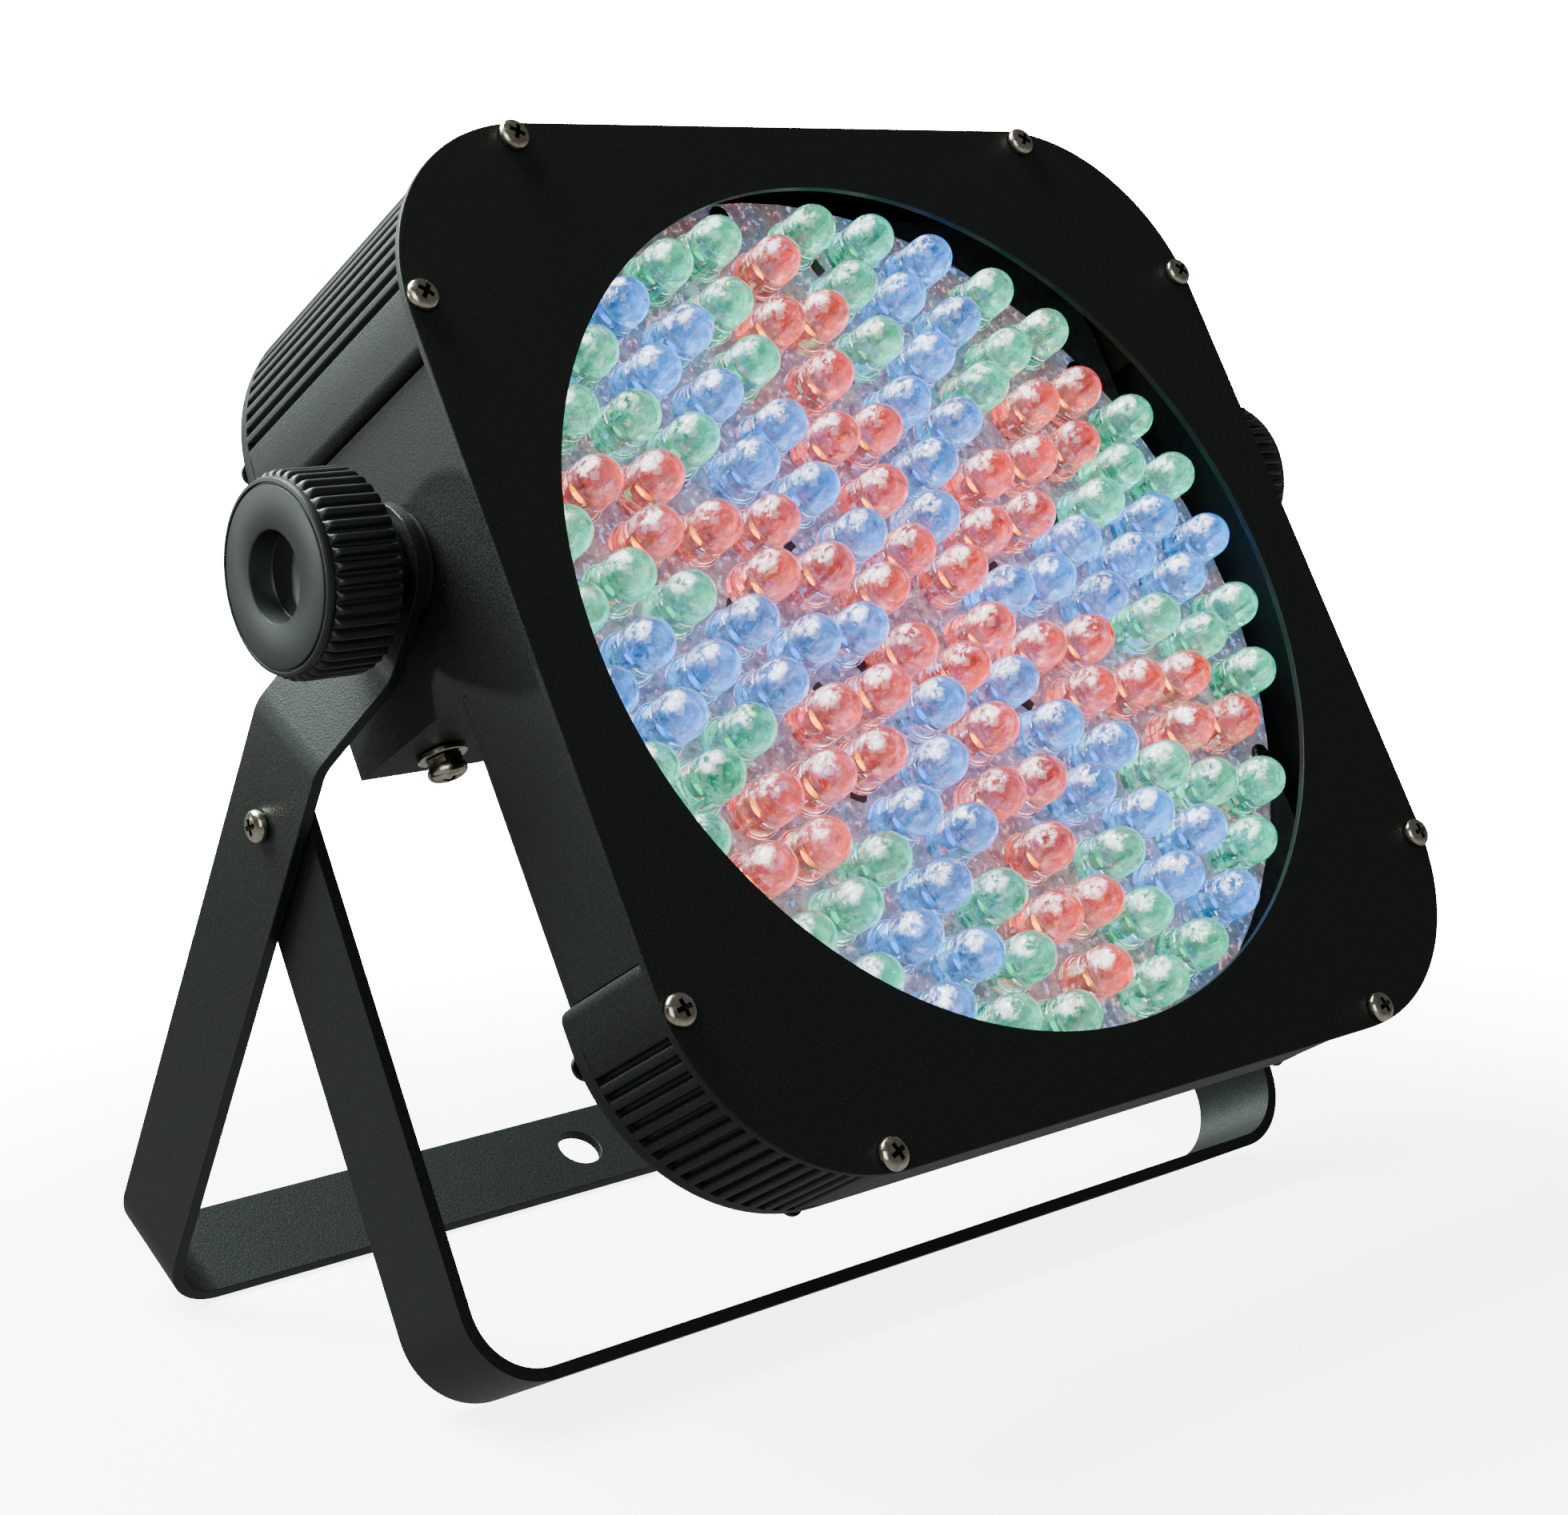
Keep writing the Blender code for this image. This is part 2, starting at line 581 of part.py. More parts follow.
    def socket(name, flange, body, body_depth, face, face_depth, pins, pin_top, flange_t=2.0):
        shape = Shape(downwards)
        back, front = shape.rise(flange, 0.0, flange_t)
        foot = shape.post(body, 0.0, -body_depth)
        shape.cap(back, [foot])
        if face:
            mouth, bottom = shape.rise(face, flange_t, -face_depth)
            shape.cap(front, [mouth])
            shape.cap(bottom, [shape.post(p, -face_depth, -pin_top) for p in pins])
        else:
            shape.cap(front, [shape.post(p, flange_t, -face_depth) for p in pins])
        return shape

    def three(x, r, size, count):
        return [circle(x + r * cos(radians(a)), SOCKET_DEPTH + r * sin(radians(a)), size, count) for a in (-150, -30, 90)]

    x = DMX_IN_X
    dmx = socket("in", round_box(x, SOCKET_DEPTH, 15.5, 13.0, 2.0), circle(x, SOCKET_DEPTH, 12.0, 20), 18.0, circle(x, SOCKET_DEPTH, 9.6, 20), 14.0, three(x, 4.8, 1.2, 8), 3.5)
    add("dmx_in_socket", dmx, BLACK_PLASTIC, head, on_head(0.0, 0.0, flange_up))
    x = DMX_OUT_X
    dmx = socket("out", round_box(x, SOCKET_DEPTH, 15.5, 13.0, 2.0), circle(x, SOCKET_DEPTH, 12.0, 20), 18.0, None, 10.0, three(x, 4.8, 1.5, 8), 0.0)
    add("dmx_out_socket", dmx, BLACK_PLASTIC, head, on_head(0.0, 0.0, flange_up))
    x = INLET_X
    cavity = [(x - 12.2, SOCKET_DEPTH - 8.2), (x + 12.2, SOCKET_DEPTH - 8.2), (x + 12.2, SOCKET_DEPTH + 4.0), (x + 8.0, SOCKET_DEPTH + 8.2), (x - 8.0, SOCKET_DEPTH + 8.2), (x - 12.2, SOCKET_DEPTH + 4.0)]
    pins = [box(x + dx, SOCKET_DEPTH + dd, 1.0, 2.0) for dx, dd in ((-7.0, -2.5), (7.0, -2.5), (0.0, 2.5))]
    inlet = socket("inlet", round_box(x, SOCKET_DEPTH, 24.5, 13.5, 4.0), box(x, SOCKET_DEPTH, 13.9, 10.1), 21.0, cavity, 15.0, pins, 4.0)
    add("power_inlet", inlet, BLACK_PLASTIC, head, on_head(0.0, 0.0, flange_up))
    fuse = lathe([(0, -20.0), (6.1, -20.0), (6.1, 0.0), (8.5, 0.0), (8.5, 1.6), (6.6, 2.0), (6.0, 8.0), (0, 8.0)], 16, downwards)
    add("fuse_holder", fuse, BLACK_PLASTIC, head, on_head(FUSE_X, SOCKET_DEPTH, flange_up))
    ground = lathe([(0, -7.0), (2.0, -6.6), (2.0, 0.0), (5.0, 0.0), (5.0, 1.0), (3.6, 1.1), (3.6, 3.0), (4.0, 3.1), (3.9, 4.5), (2.4, 5.6), (0, 5.9)], 14, downwards)
    add("ground_screw", ground, ZINC, head, on_head(GROUND_SCREW[0], GROUND_SCREW[1], flange_up))

    # --- clamp knobs, washers and nuts on the tilt axis
    for side_name, sign in (("left", -1), ("right", 1)):
        place = along_x(sign)
        knob = lathe(
            [
                (0, STUD_END), (3.4, STUD_END), (STUD_R, STUD_END + 0.8), (STUD_R, 109.1), (HUB_R, 109.1), (HUB_R, KNOB_BACK),
                (KNOB_R - 1.5, KNOB_BACK), (KNOB_R, KNOB_BACK + 1.5), (KNOB_R, KNOB_FACE - 2.2), (KNOB_FACE_R, KNOB_FACE),
                (8.4, KNOB_FACE), (8.0, KNOB_FACE - 2.0), (0, KNOB_FACE - 2.0),
            ],
            24,
            place,
        )
        add(f"knob_{side_name}", knob, BLACK_PLASTIC, head)
        add(f"knob_washer_{side_name}", lathe([(4.4, 107.3), (9.0, 107.3), (9.0, 108.8), (4.4, 108.8)], 20, place, ring=True), ZINC, head)
        add(f"friction_washer_{side_name}", lathe([(4.4, 102.3), (10.0, 102.3), (10.0, 104.2), (4.4, 104.2)], 20, place, ring=True), BLACK_PLASTIC, head)
        nut = lathe([(4.3, 97.4), (9.0, 97.4), (9.0, 100.0), (5.3, 100.0), (5.3, 101.9), (4.3, 101.9)], 16, place, ring=True)
        add(f"knob_nut_{side_name}", nut, ZINC, head)

    # --- rear bracket
    rear_profile = arm_end(REAR_TAB) + [((REAR_TAB, TAB_END), STRIP_W / 2), ((REAR_ARM, ARM_START), STRIP_W / 2)]
    rear = add("rear_bracket", bracket(rear_profile, REAR_BEND, REAR_ARM, REAR_LENGTH), BLACK_STRIP, None, (0.0, axis_y, axis_z), REAR_ANGLE)

    def rod(radius, s, count=20):
        return lathe([(0, -140), (radius, -140), (radius, 140), (0, 140)], count, lambda a, b, h: (h, a, b - s), phase=pi / count)

    cut(rear, "cut_knob_holes", rod(KNOB_HOLE_R, 0.0))
    cut(rear, "cut_rear_pivot_holes", rod(PIVOT_HOLE_R, PIVOT_S, 14))
    cut(rear, "cut_bar_hole", lathe([(0, REAR_LENGTH - 12), (BAR_HOLE_R, REAR_LENGTH - 12), (BAR_HOLE_R, REAR_LENGTH + 12), (0, REAR_LENGTH + 12)], 20, lambda a, b, h: (a, b, -h), phase=pi / 20))

    # --- front bracket: its bar's lowest edge is level with the rear one's
    a, f = radians(REAR_ANGLE), radians(FRONT_ANGLE)
    half = STRIP_W / 2
    pivot_y, pivot_z = axis_y + PIVOT_S * sin(a), axis_z - PIVOT_S * cos(a)
    floor_z = axis_z - REAR_LENGTH * cos(a) - half * sin(a)
    front_length = (pivot_z - floor_z - half * abs(sin(f))) / cos(f)
    fold = axis_empty("fold_axis", (0.0, pivot_y, pivot_z), FRONT_ANGLE)
    front_profile = arm_end(FRONT_ARM)
    front = add("front_bracket", bracket(front_profile, FRONT_BEND, FRONT_ARM, front_length), BLACK_STRIP, fold)
    cut(front, "cut_front_pivot_holes", rod(PIVOT_HOLE_R, 0.0, 14))
    for side_name, sign in (("left", -1), ("right", 1)):
        place = along_x(sign)
        pin = lathe([(0, 108.5), (2.4, 108.8), (2.4, 118.1), (3.6, 118.1), (3.6, 119.2), (2.2, 120.4), (0, 120.7)], 14, place)
        add(f"pivot_screw_{side_name}", pin, ZINC, rear, (0.0, 0.0, -PIVOT_S))
        nut = lathe([(3.2, 109.3), (5.2, 109.3), (5.2, 112.1), (3.2, 112.1)], 6, place, ring=True)
        add(f"pivot_nut_{side_name}", nut, ZINC, rear, (0.0, 0.0, -PIVOT_S))


main()
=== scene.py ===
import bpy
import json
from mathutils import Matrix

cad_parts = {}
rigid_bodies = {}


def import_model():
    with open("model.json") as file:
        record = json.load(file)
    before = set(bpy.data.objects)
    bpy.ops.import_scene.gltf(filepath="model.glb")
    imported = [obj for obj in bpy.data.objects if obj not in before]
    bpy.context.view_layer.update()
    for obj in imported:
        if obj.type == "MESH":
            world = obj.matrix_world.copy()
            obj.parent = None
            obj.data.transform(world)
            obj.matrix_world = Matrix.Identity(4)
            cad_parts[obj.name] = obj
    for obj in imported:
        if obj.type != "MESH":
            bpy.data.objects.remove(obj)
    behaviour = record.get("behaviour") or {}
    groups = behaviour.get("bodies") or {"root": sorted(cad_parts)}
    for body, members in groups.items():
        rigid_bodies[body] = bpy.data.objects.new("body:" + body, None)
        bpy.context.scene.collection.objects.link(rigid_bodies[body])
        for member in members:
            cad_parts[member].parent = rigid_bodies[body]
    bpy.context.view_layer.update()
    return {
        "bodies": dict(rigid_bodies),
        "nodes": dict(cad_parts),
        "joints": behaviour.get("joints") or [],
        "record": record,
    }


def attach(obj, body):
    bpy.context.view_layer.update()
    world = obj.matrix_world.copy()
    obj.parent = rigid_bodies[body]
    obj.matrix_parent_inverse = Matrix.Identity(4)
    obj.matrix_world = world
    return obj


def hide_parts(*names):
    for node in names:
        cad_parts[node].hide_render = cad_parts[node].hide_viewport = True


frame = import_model()

import json
from math import asin, cos, exp, pi, radians, sin, sqrt

import bmesh
import bpy
from mathutils import Euler, Matrix, Vector
from mathutils.geometry import tessellate_polygon

MM = 0.001

# ---------------------------------------------------------------- dimensions (mm)
HEAD_TILT, AXIS_DEPTH, AXIS_UP = 27.52, 31.22, 30.42
WINDOW_Y, WINDOW_Z = -48.88, 147.093
PLATE_HALF, PLATE_R, PLATE_T, WINDOW_R = 105.0, 40.0, 1.5, 90.8
SCREW_NEAR, SCREW_FAR = 68.4, 101.65
BODY_HALF, PANEL_HALF, CORNER_C = 104.0, 102.0, 65.0
CORNER_R, BLOCK_WALL, BLOCK_END, PANEL_END = 39.0, 4.7, 61.2, 58.0
RIBS, RIB_PITCH, RIB_DEPTH = 15, 3.3, 1.35
GAP, BODY_FRONT, SLIM_REAR, DEEP_REAR, COVER_T = 0.3, 1.8, 30.0, 69.0, 1.5
LOWER_RIM, UPPER_RIM, BOX_FLOOR = SLIM_REAR - 3.2, DEEP_REAR - 2.7, 2.0
BOARD_R, BOARD_FRONT, BOARD_T, BOARD_SCREW_RING = 98.0, 18.0, 1.6, 94.8
RED = [(13.15, 35, 0), (26.4, 35, 0), (52.6, 35, 0), (79.0, 35, 0), (39.8, 35, 8.85), (66.0, 35, 5.4)]
BLUE = [(21.4, 5.4, 0), (34.5, 5.4, 0), (60.8, 5.4, 0), (86.0, 5.4, 0), (47.5, 5.4, 8.0), (73.4, 5.4, 5.65)]
GREEN = [(60.7, 35, 16.9), (73.4, 35, 13.9), (85.9, 35, 8.9), (85.9, 35, 19.3)]
KNOB_FACE, KNOB_R, KNOB_BACK, HUB_R, STUD_R, STUD_END = 129.7, 19.0, 114.0, 9.5, 4.0, 92.0
STRIP_W, STRIP_T = 23.0, 2.5
REAR_ANGLE, REAR_TAB, REAR_ARM, TAB_END, ARM_START, REAR_LENGTH, REAR_BEND = 32.02, 107.0, 117.8, 18.0, 37.0, 181.1, 14.0
PIVOT_S, BAR_HOLE_R, FRONT_ANGLE, FRONT_ARM, FRONT_BEND = 58.5, 5.3, -25.17, 114.9, 16.0
KNOB_HOLE_R, PIVOT_HOLE_R = 4.4, 2.9
DISPLAY_AT, BUTTON_X, BUTTON_UP = (0.0, 62.0), (-24.0, -8.0, 8.0, 24.0), 38.0

# ---------------------------------------------------------------- frames of reference
T = radians(HEAD_TILT)
HEAD = Matrix.Translation(Vector((0, WINDOW_Y, WINDOW_Z)) * MM) @ Matrix.Rotation(-T, 4, "X")
AXIS = HEAD @ (Vector((0, AXIS_DEPTH, AXIS_UP)) * MM)
REAR = Matrix.Translation(AXIS) @ Matrix.Rotation(radians(REAR_ANGLE), 4, "X")
PIVOT = REAR @ (Vector((0, 0, -PIVOT_S)) * MM)
FRONT = Matrix.Translation(PIVOT) @ Matrix.Rotation(radians(FRONT_ANGLE), 4, "X")
TILT_AXIS = HEAD @ Matrix.Translation(Vector((0, AXIS_DEPTH, AXIS_UP)) * MM)


def head_at(x=0.0, depth=0.0, up=0.0):
    return HEAD @ Matrix.Translation(Vector((x, depth, up)) * MM)


# ---------------------------------------------------------------- mesh building
class Shape:
    """A closed surface put together from loops, walls between them and filled caps."""

    def __init__(self, place=lambda a, b, h: (a, h, b)):
        self.place, self.flat, self.points, self.faces, self.crease = place, [], [], [], None

    def loop(self, outline, h):
        start = len(self.points)
        for a, b in outline:
            self.flat.append(Vector((a, b, 0.0)))
            self.points.append(self.place(a, b, h))
        return list(range(start, len(self.points)))

    def wall(self, low, high):
        for i in range(len(low)):
            j = (i + 1) % len(low)
            self.faces.append((low[i], low[j], high[j], high[i]))

    def cap(self, outer, holes=()):
        if not holes:
            self.faces.append(tuple(outer))
            return
        loops = [outer, *holes]
        index = [i for loop in loops for i in loop]
        for triangle in tessellate_polygon([[self.flat[i] for i in loop] for loop in loops]):
            self.faces.append(tuple(index[k] for k in triangle))

    def rise(self, outline, h0, h1):
        low, high = self.loop(outline, h0), self.loop(outline, h1)
        self.wall(low, high)
        return low, high

    def post(self, outline, h0, h1):
        low, high = self.rise(outline, h0, h1)
        self.cap(high)
        return low

    def mesh(self, name, angle=35.0):
        mesh = bpy.data.meshes.new(name)
        mesh.from_pydata([Vector(p) * MM for p in self.points], [], self.faces)
        return tidy(mesh, self.crease or angle)


def tidy(mesh, angle=35.0):
    work = bmesh.new()
    work.from_mesh(mesh)
    bmesh.ops.remove_doubles(work, verts=work.verts, dist=1e-7)
    bmesh.ops.recalc_face_normals(work, faces=work.faces)
    work.to_mesh(mesh)
    work.free()
    mesh.shade_smooth()
    mesh.set_sharp_from_angle(angle=radians(angle))
    return mesh


def circle(x, y, r, count, phase=0.0):
    return [(x + r * cos(phase + 2 * pi * i / count), y + r * sin(phase + 2 * pi * i / count)) for i in range(count)]


def arc(x, y, r, start, end, count):
    return [
        (x + r * cos(radians(start + (end - start) * i / count)), y + r * sin(radians(start + (end - start) * i / count)))
        for i in range(count + 1)
    ]


def box(x, y, half_x, half_y):
    return [(x - half_x, y - half_y), (x + half_x, y - half_y), (x + half_x, y + half_y), (x - half_x, y + half_y)]


def round_box(x, y, half_x, half_y, r, count=3):
    return (
        arc(x + half_x - r, y + half_y - r, r, 0, 90, count)
        + arc(x - half_x + r, y + half_y - r, r, 90, 180, count)
        + arc(x - half_x + r, y - half_y + r, r, 180, 270, count)
        + arc(x + half_x - r, y - half_y + r, r, 270, 360, count)
    )


def inset(outline, distance, share=None):
    full, moved = distance, []
    for i, here in enumerate(outline):
        distance = full * (share(*here) if share else 1.0)
        before, after = Vector(outline[i - 1]), Vector(outline[(i + 1) % len(outline)])
        here = Vector(here)
        a, b = (here - before).normalized(), (after - here).normalized()
        a, b = Vector((-a.y, a.x)), Vector((-b.y, b.x))
        moved.append(tuple(here + (a + b) * distance / (1.0 + a.dot(b))))
    return moved


def sheet(outline, h0, h1, holes=(), edge=0.2, hole_edge=0.12, place=lambda a, b, h: (a, h, b), steps=2):
    """A plate whose outer and hole edges are finely rounded on both faces."""
    shape = Shape(place)
    side = 1.0 if h1 > h0 else -1.0

    def rounded(line, r, sign):
        rings = []
        for k in range(steps + 1):
            turn = radians(90.0 * k / steps)
            rings.append(shape.loop(inset(line, sign * r * (1.0 - sin(turn))), h0 + side * r * (1.0 - cos(turn))))
        for k in range(steps, -1, -1):
            turn = radians(90.0 * k / steps)
            rings.append(shape.loop(inset(line, sign * r * (1.0 - sin(turn))), h1 - side * r * (1.0 - cos(turn))))
        for low, high in zip(rings, rings[1:]):
            shape.wall(low, high)
        return rings[0], rings[-1]

    first, last = rounded(outline, edge, 1.0)
    bores = [rounded(hole, hole_edge, -1.0) for hole in holes]
    shape.cap(first, [low for low, _ in bores])
    shape.cap(last, [high for _, high in bores])
    shape.crease = 18.0
    return shape


def lathe(profile, count, place, ring=False, phase=0.0):
    shape = Shape(place)
    loops = []
    for r, h in profile:
        loops.append(shape.loop([(0.0, 0.0)] if r == 0 else circle(0.0, 0.0, r, count, phase), h))
    pairs = list(zip(loops, loops[1:])) + ([(loops[-1], loops[0])] if ring else [])
    for low, high in pairs:
        if len(low) == 1 or len(high) == 1:
            tip, rim = (low[0], high) if len(low) == 1 else (high[0], low)
            for i in range(count):
                shape.faces.append((rim[i], rim[(i + 1) % count], tip))
        else:
            shape.wall(low, high)
    return shape


def along_x(side):
    return lambda a, b, h: (side * h, a, b)


def backwards(a, b, h):
    return (a, h, b)


def downwards(a, b, h):
    return (a, b, -h)


# ---------------------------------------------------------------- placing pieces
def piece(name, mesh, look, matrix, body, replaces=(), angle=35.0):
    if isinstance(mesh, Shape):
        mesh = mesh.mesh(name, angle)
    if look is not None and not mesh.materials:
        mesh.materials.append(look)
    made = bpy.data.objects.new(name, mesh)
    bpy.context.scene.collection.objects.link(made)
    made.matrix_world = matrix
    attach(made, body)
    if replaces:
        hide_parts(*replaces)
    return made


def cut(target, shape, matrix=None):
    """Cuts a shape out of a mesh object for good."""
    cutter = bpy.data.objects.new("cutter", shape.mesh("cutter"))
    bpy.context.scene.collection.objects.link(cutter)
    cutter.matrix_world = matrix if matrix is not None else target.matrix_world
    modifier = target.modifiers.new("cut", "BOOLEAN")
    modifier.operation, modifier.solver, modifier.object = "DIFFERENCE", "EXACT", cutter
    settle(target)
    bpy.data.objects.remove(cutter, do_unlink=True)


def settle(target, angle=20.0):
    """Applies the modifiers of an object."""
    bpy.context.view_layer.update()
    graph = bpy.context.evaluated_depsgraph_get()
    mesh = bpy.data.meshes.new_from_object(target.evaluated_get(graph), preserve_all_data_layers=True, depsgraph=graph)
    mesh.name = target.data.name
    target.modifiers.clear()
    old, target.data = target.data, mesh
    bpy.data.meshes.remove(old)
    mesh.shade_smooth()
    mesh.set_sharp_from_angle(angle=radians(angle))
    return target


def soften(target, width, segments=2, angle=35.0):
    modifier = target.modifiers.new("edge", "BEVEL")
    modifier.width, modifier.segments = width * MM, segments
    modifier.limit_method, modifier.angle_limit = "ANGLE", radians(angle)
    modifier.use_clamp_overlap = True
    return settle(target, 20.0)


# ---------------------------------------------------------------- materials
class Look:
    """A node material with a Principled surface."""

    def __init__(self, name, colour=(0.5, 0.5, 0.5), rough=0.5, metal=0.0, **fixed):
        self.made = bpy.data.materials.new(name)
        self.made.use_nodes = True
        self.tree = self.made.node_tree
        self.surface = self.tree.nodes["Principled BSDF"]
        self.output = self.tree.nodes["Material Output"]
        self.set("Base Color", (*colour, 1.0))
        self.set("Roughness", rough)
        self.set("Metallic", metal)
        for key, value in fixed.items():
            self.set(key.replace("_", " "), value)
        self.made.diffuse_color = (*colour, 1.0)
        self._coords = None

    def set(self, socket, value):
        self.surface.inputs[socket].default_value = value

    def node(self, kind, **settings):
        node = self.tree.nodes.new(kind)
        for key, value in settings.items():
            setattr(node, key, value)
        return node

    def link(self, a, b):
        self.tree.links.new(a, b)

    def coords(self, scale=None):
        if self._coords is None:
            self._coords = self.node("ShaderNodeTexCoord")
        out = self._coords.outputs["Object"]
        if scale:
            mapping = self.node("ShaderNodeMapping")
            mapping.inputs["Scale"].default_value = scale
            self.link(out, mapping.inputs["Vector"])
            out = mapping.outputs["Vector"]
        return out

    def noise(self, scale, detail=2.0, rough=0.5, stretch=None, distortion=0.0):
        node = self.node("ShaderNodeTexNoise")
        node.inputs["Scale"].default_value = scale
        node.inputs["Detail"].default_value = detail
        node.inputs["Roughness"].default_value = rough
        node.inputs["Distortion"].default_value = distortion
        self.link(self.coords(stretch), node.inputs["Vector"])
        return node.outputs["Fac"]

    def ramp(self, value, low, high, a, b):
        """value from low..high mapped to a..b, as a number or a colour."""
        if isinstance(a, (tuple, list)):
            node = self.node("ShaderNodeValToRGB")
            node.color_ramp.elements[0].position, node.color_ramp.elements[1].position = low, high
            node.color_ramp.elements[0].color, node.color_ramp.elements[1].color = (*a, 1.0), (*b, 1.0)
            self.link(value, node.inputs["Fac"])
            return node.outputs["Color"]
        node = self.node("ShaderNodeMapRange")
        for key, number in (("From Min", low), ("From Max", high), ("To Min", a), ("To Max", b)):
            node.inputs[key].default_value = number
        self.link(value, node.inputs["Value"])
        return node.outputs["Result"]

    def blend(self, factor, a, b):
        node = self.node("ShaderNodeMix", data_type="RGBA")
        if isinstance(factor, float):
            node.inputs[0].default_value = factor
        else:
            self.link(factor, node.inputs[0])
        for value, socket in ((a, node.inputs[6]), (b, node.inputs[7])):
            if isinstance(value, (tuple, list)):
                socket.default_value = (*value, 1.0)
            else:
                self.link(value, socket)
        return node.outputs[2]

    def maths(self, operation, a, b=None):
        node = self.node("ShaderNodeMath", operation=operation)
        for value, socket in ((a, node.inputs[0]), (b, node.inputs[1])):
            if value is None:
                continue
            if isinstance(value, (int, float)):
                socket.default_value = value
            else:
                self.link(value, socket)
        return node.outputs[0]

    def bump(self, height, strength, distance, after=None):
        node = self.node("ShaderNodeBump")
        node.inputs["Strength"].default_value = strength
        node.inputs["Distance"].default_value = distance
        self.link(height, node.inputs["Height"])
        if after is not None:
            self.link(after, node.inputs["Normal"])
        return node.outputs["Normal"]

    def wear(self, low=0.52, high=0.62):
        """Where convex edges are: 0 on faces, 1 on edges."""
        node = self.node("ShaderNodeNewGeometry")
        return self.ramp(node.outputs["Pointiness"], low, high, 0.0, 1.0)


def coat(name, dark, light, rough, level=0.5, grain=2300.0, bumpiness=0.7, worn=(0.03, 0.033, 0.031), wear=0.6):
    """Fine-textured powder coat: a tight pebble, slow drift in gloss, rubbed edges."""
    look = Look(name, dark, rough, Specular_IOR_Level=level)
    look.set("Specular Tint", (0.84, 1.0, 0.92, 1.0))
    pebble = look.noise(grain, 3.0, 0.6)
    drift = look.noise(14.0, 2.0, 0.5)
    speck = look.noise(grain * 0.9, 2.0, 0.6)
    tone = look.blend(look.ramp(speck, 0.38, 0.66, 0.0, 1.0), dark, light)
    scuff = look.noise(1500.0, 3.0, 0.7)
    rubbed = look.maths("MULTIPLY", look.wear(), look.ramp(scuff, 0.45, 0.7, 0.0, wear * 0.5))
    look.link(look.blend(rubbed, tone, worn), look.surface.inputs["Base Color"])
    fine = look.ramp(speck, 0.3, 0.7, rough - 0.06, rough + 0.08)
    look.link(look.maths("ADD", fine, look.ramp(drift, 0.3, 0.7, -0.006, 0.006)), look.surface.inputs["Roughness"])
    look.link(look.bump(pebble, bumpiness, 0.00013), look.surface.inputs["Normal"])
    return look.made


def plated(name, colour, rough, dull):
    """Plated steel: fine turning marks and slightly uneven plating."""
    look = Look(name, colour, rough, 1.0)
    cloud = look.noise(420.0, 3.0, 0.6)
    look.link(look.blend(look.ramp(cloud, 0.35, 0.7, 0.0, 1.0), colour, dull), look.surface.inputs["Base Color"])
    streak = look.noise(1500.0, 2.0, 0.5, stretch=(1.0, 0.15, 1.0))
    look.link(look.ramp(streak, 0.3, 0.7, rough - 0.07, rough + 0.14), look.surface.inputs["Roughness"])
    look.link(look.bump(streak, 0.12, 0.00003), look.surface.inputs["Normal"])
    return look.made


def moulded(name, dark, light, rough, grain=900.0, bumpiness=0.2, wear=0.35):
    """Moulded plastic: satin skin with a faint spark-eroded grain."""
    look = Look(name, dark, rough)
    look.set("Specular Tint", (0.86, 1.0, 0.93, 1.0))
    grainy = look.noise(grain, 2.0, 0.5)
    drift = look.noise(45.0, 2.0, 0.5)
    tone = look.blend(look.ramp(drift, 0.3, 0.75, 0.0, 1.0), dark, light)
    rubbed = look.maths("MULTIPLY", look.wear(0.54, 0.64), wear)
    look.link(look.blend(rubbed, tone, (0.04, 0.043, 0.041)), look.surface.inputs["Base Color"])
    look.link(look.ramp(drift, 0.3, 0.7, rough - 0.05, rough + 0.08), look.surface.inputs["Roughness"])
    look.link(look.bump(grainy, bumpiness, 0.00008), look.surface.inputs["Normal"])
    return look.made


def circuit(name, colour, mark):
    """Solder-masked board with faint copper tracks under the mask."""
    look = Look(name, colour, 0.35)
    brick = look.node("ShaderNodeTexBrick")
    brick.offset = 0.37
    for key, value in (("Scale", 210.0), ("Mortar Size", 0.02), ("Mortar Smooth", 0.2), ("Brick Width", 1.7), ("Row Height", 0.3)):
        brick.inputs[key].default_value = value
    brick.inputs["Color1"].default_value = (*colour, 1.0)
    brick.inputs["Color2"].default_value = (*[c * 0.93 for c in colour], 1.0)
    brick.inputs["Mortar"].default_value = (*mark, 1.0)
    look.link(look.coords(), brick.inputs["Vector"])
    fine = look.noise(300.0, 2.0, 0.5)
    look.link(look.blend(look.ramp(fine, 0.3, 0.7, 0.0, 0.25), brick.outputs["Color"], mark), look.surface.inputs["Base Color"])
    look.link(look.ramp(fine, 0.3, 0.7, 0.3, 0.42), look.surface.inputs["Roughness"])
    return look.made


BODY = coat("body_powder_coat", (0.0014, 0.002, 0.0016), (0.0056, 0.0078, 0.0063), 0.52, 0.38)
STRIP = coat("bracket_powder_coat", (0.0016, 0.0022, 0.0018), (0.0056, 0.0077, 0.0063), 0.44, 0.45, grain=2600.0, bumpiness=0.5)
KNOB = moulded("knob_plastic", (0.0058, 0.008, 0.0067), (0.009, 0.0122, 0.0102), 0.4)
PLASTIC = moulded("socket_plastic", (0.006, 0.0062, 0.0065), (0.011, 0.011, 0.011), 0.38)
RUBBER = moulded("friction_rubber", (0.004, 0.004, 0.004), (0.008, 0.008, 0.008), 0.75, grain=500.0, wear=0.0)
ZINC = plated("zinc_screw", (0.62, 0.58, 0.46), 0.17, (0.32, 0.29, 0.22))
STEEL = plated("plain_steel", (0.6, 0.6, 0.6), 0.3, (0.45, 0.45, 0.46))
# near-black metal for the screws' cross recesses: painted shade where the recess lies in shadow
PAINTED_RECESS_SHADE = plated("screw_recess_painted_shade", (0.03, 0.028, 0.024), 0.5, (0.01, 0.01, 0.01))
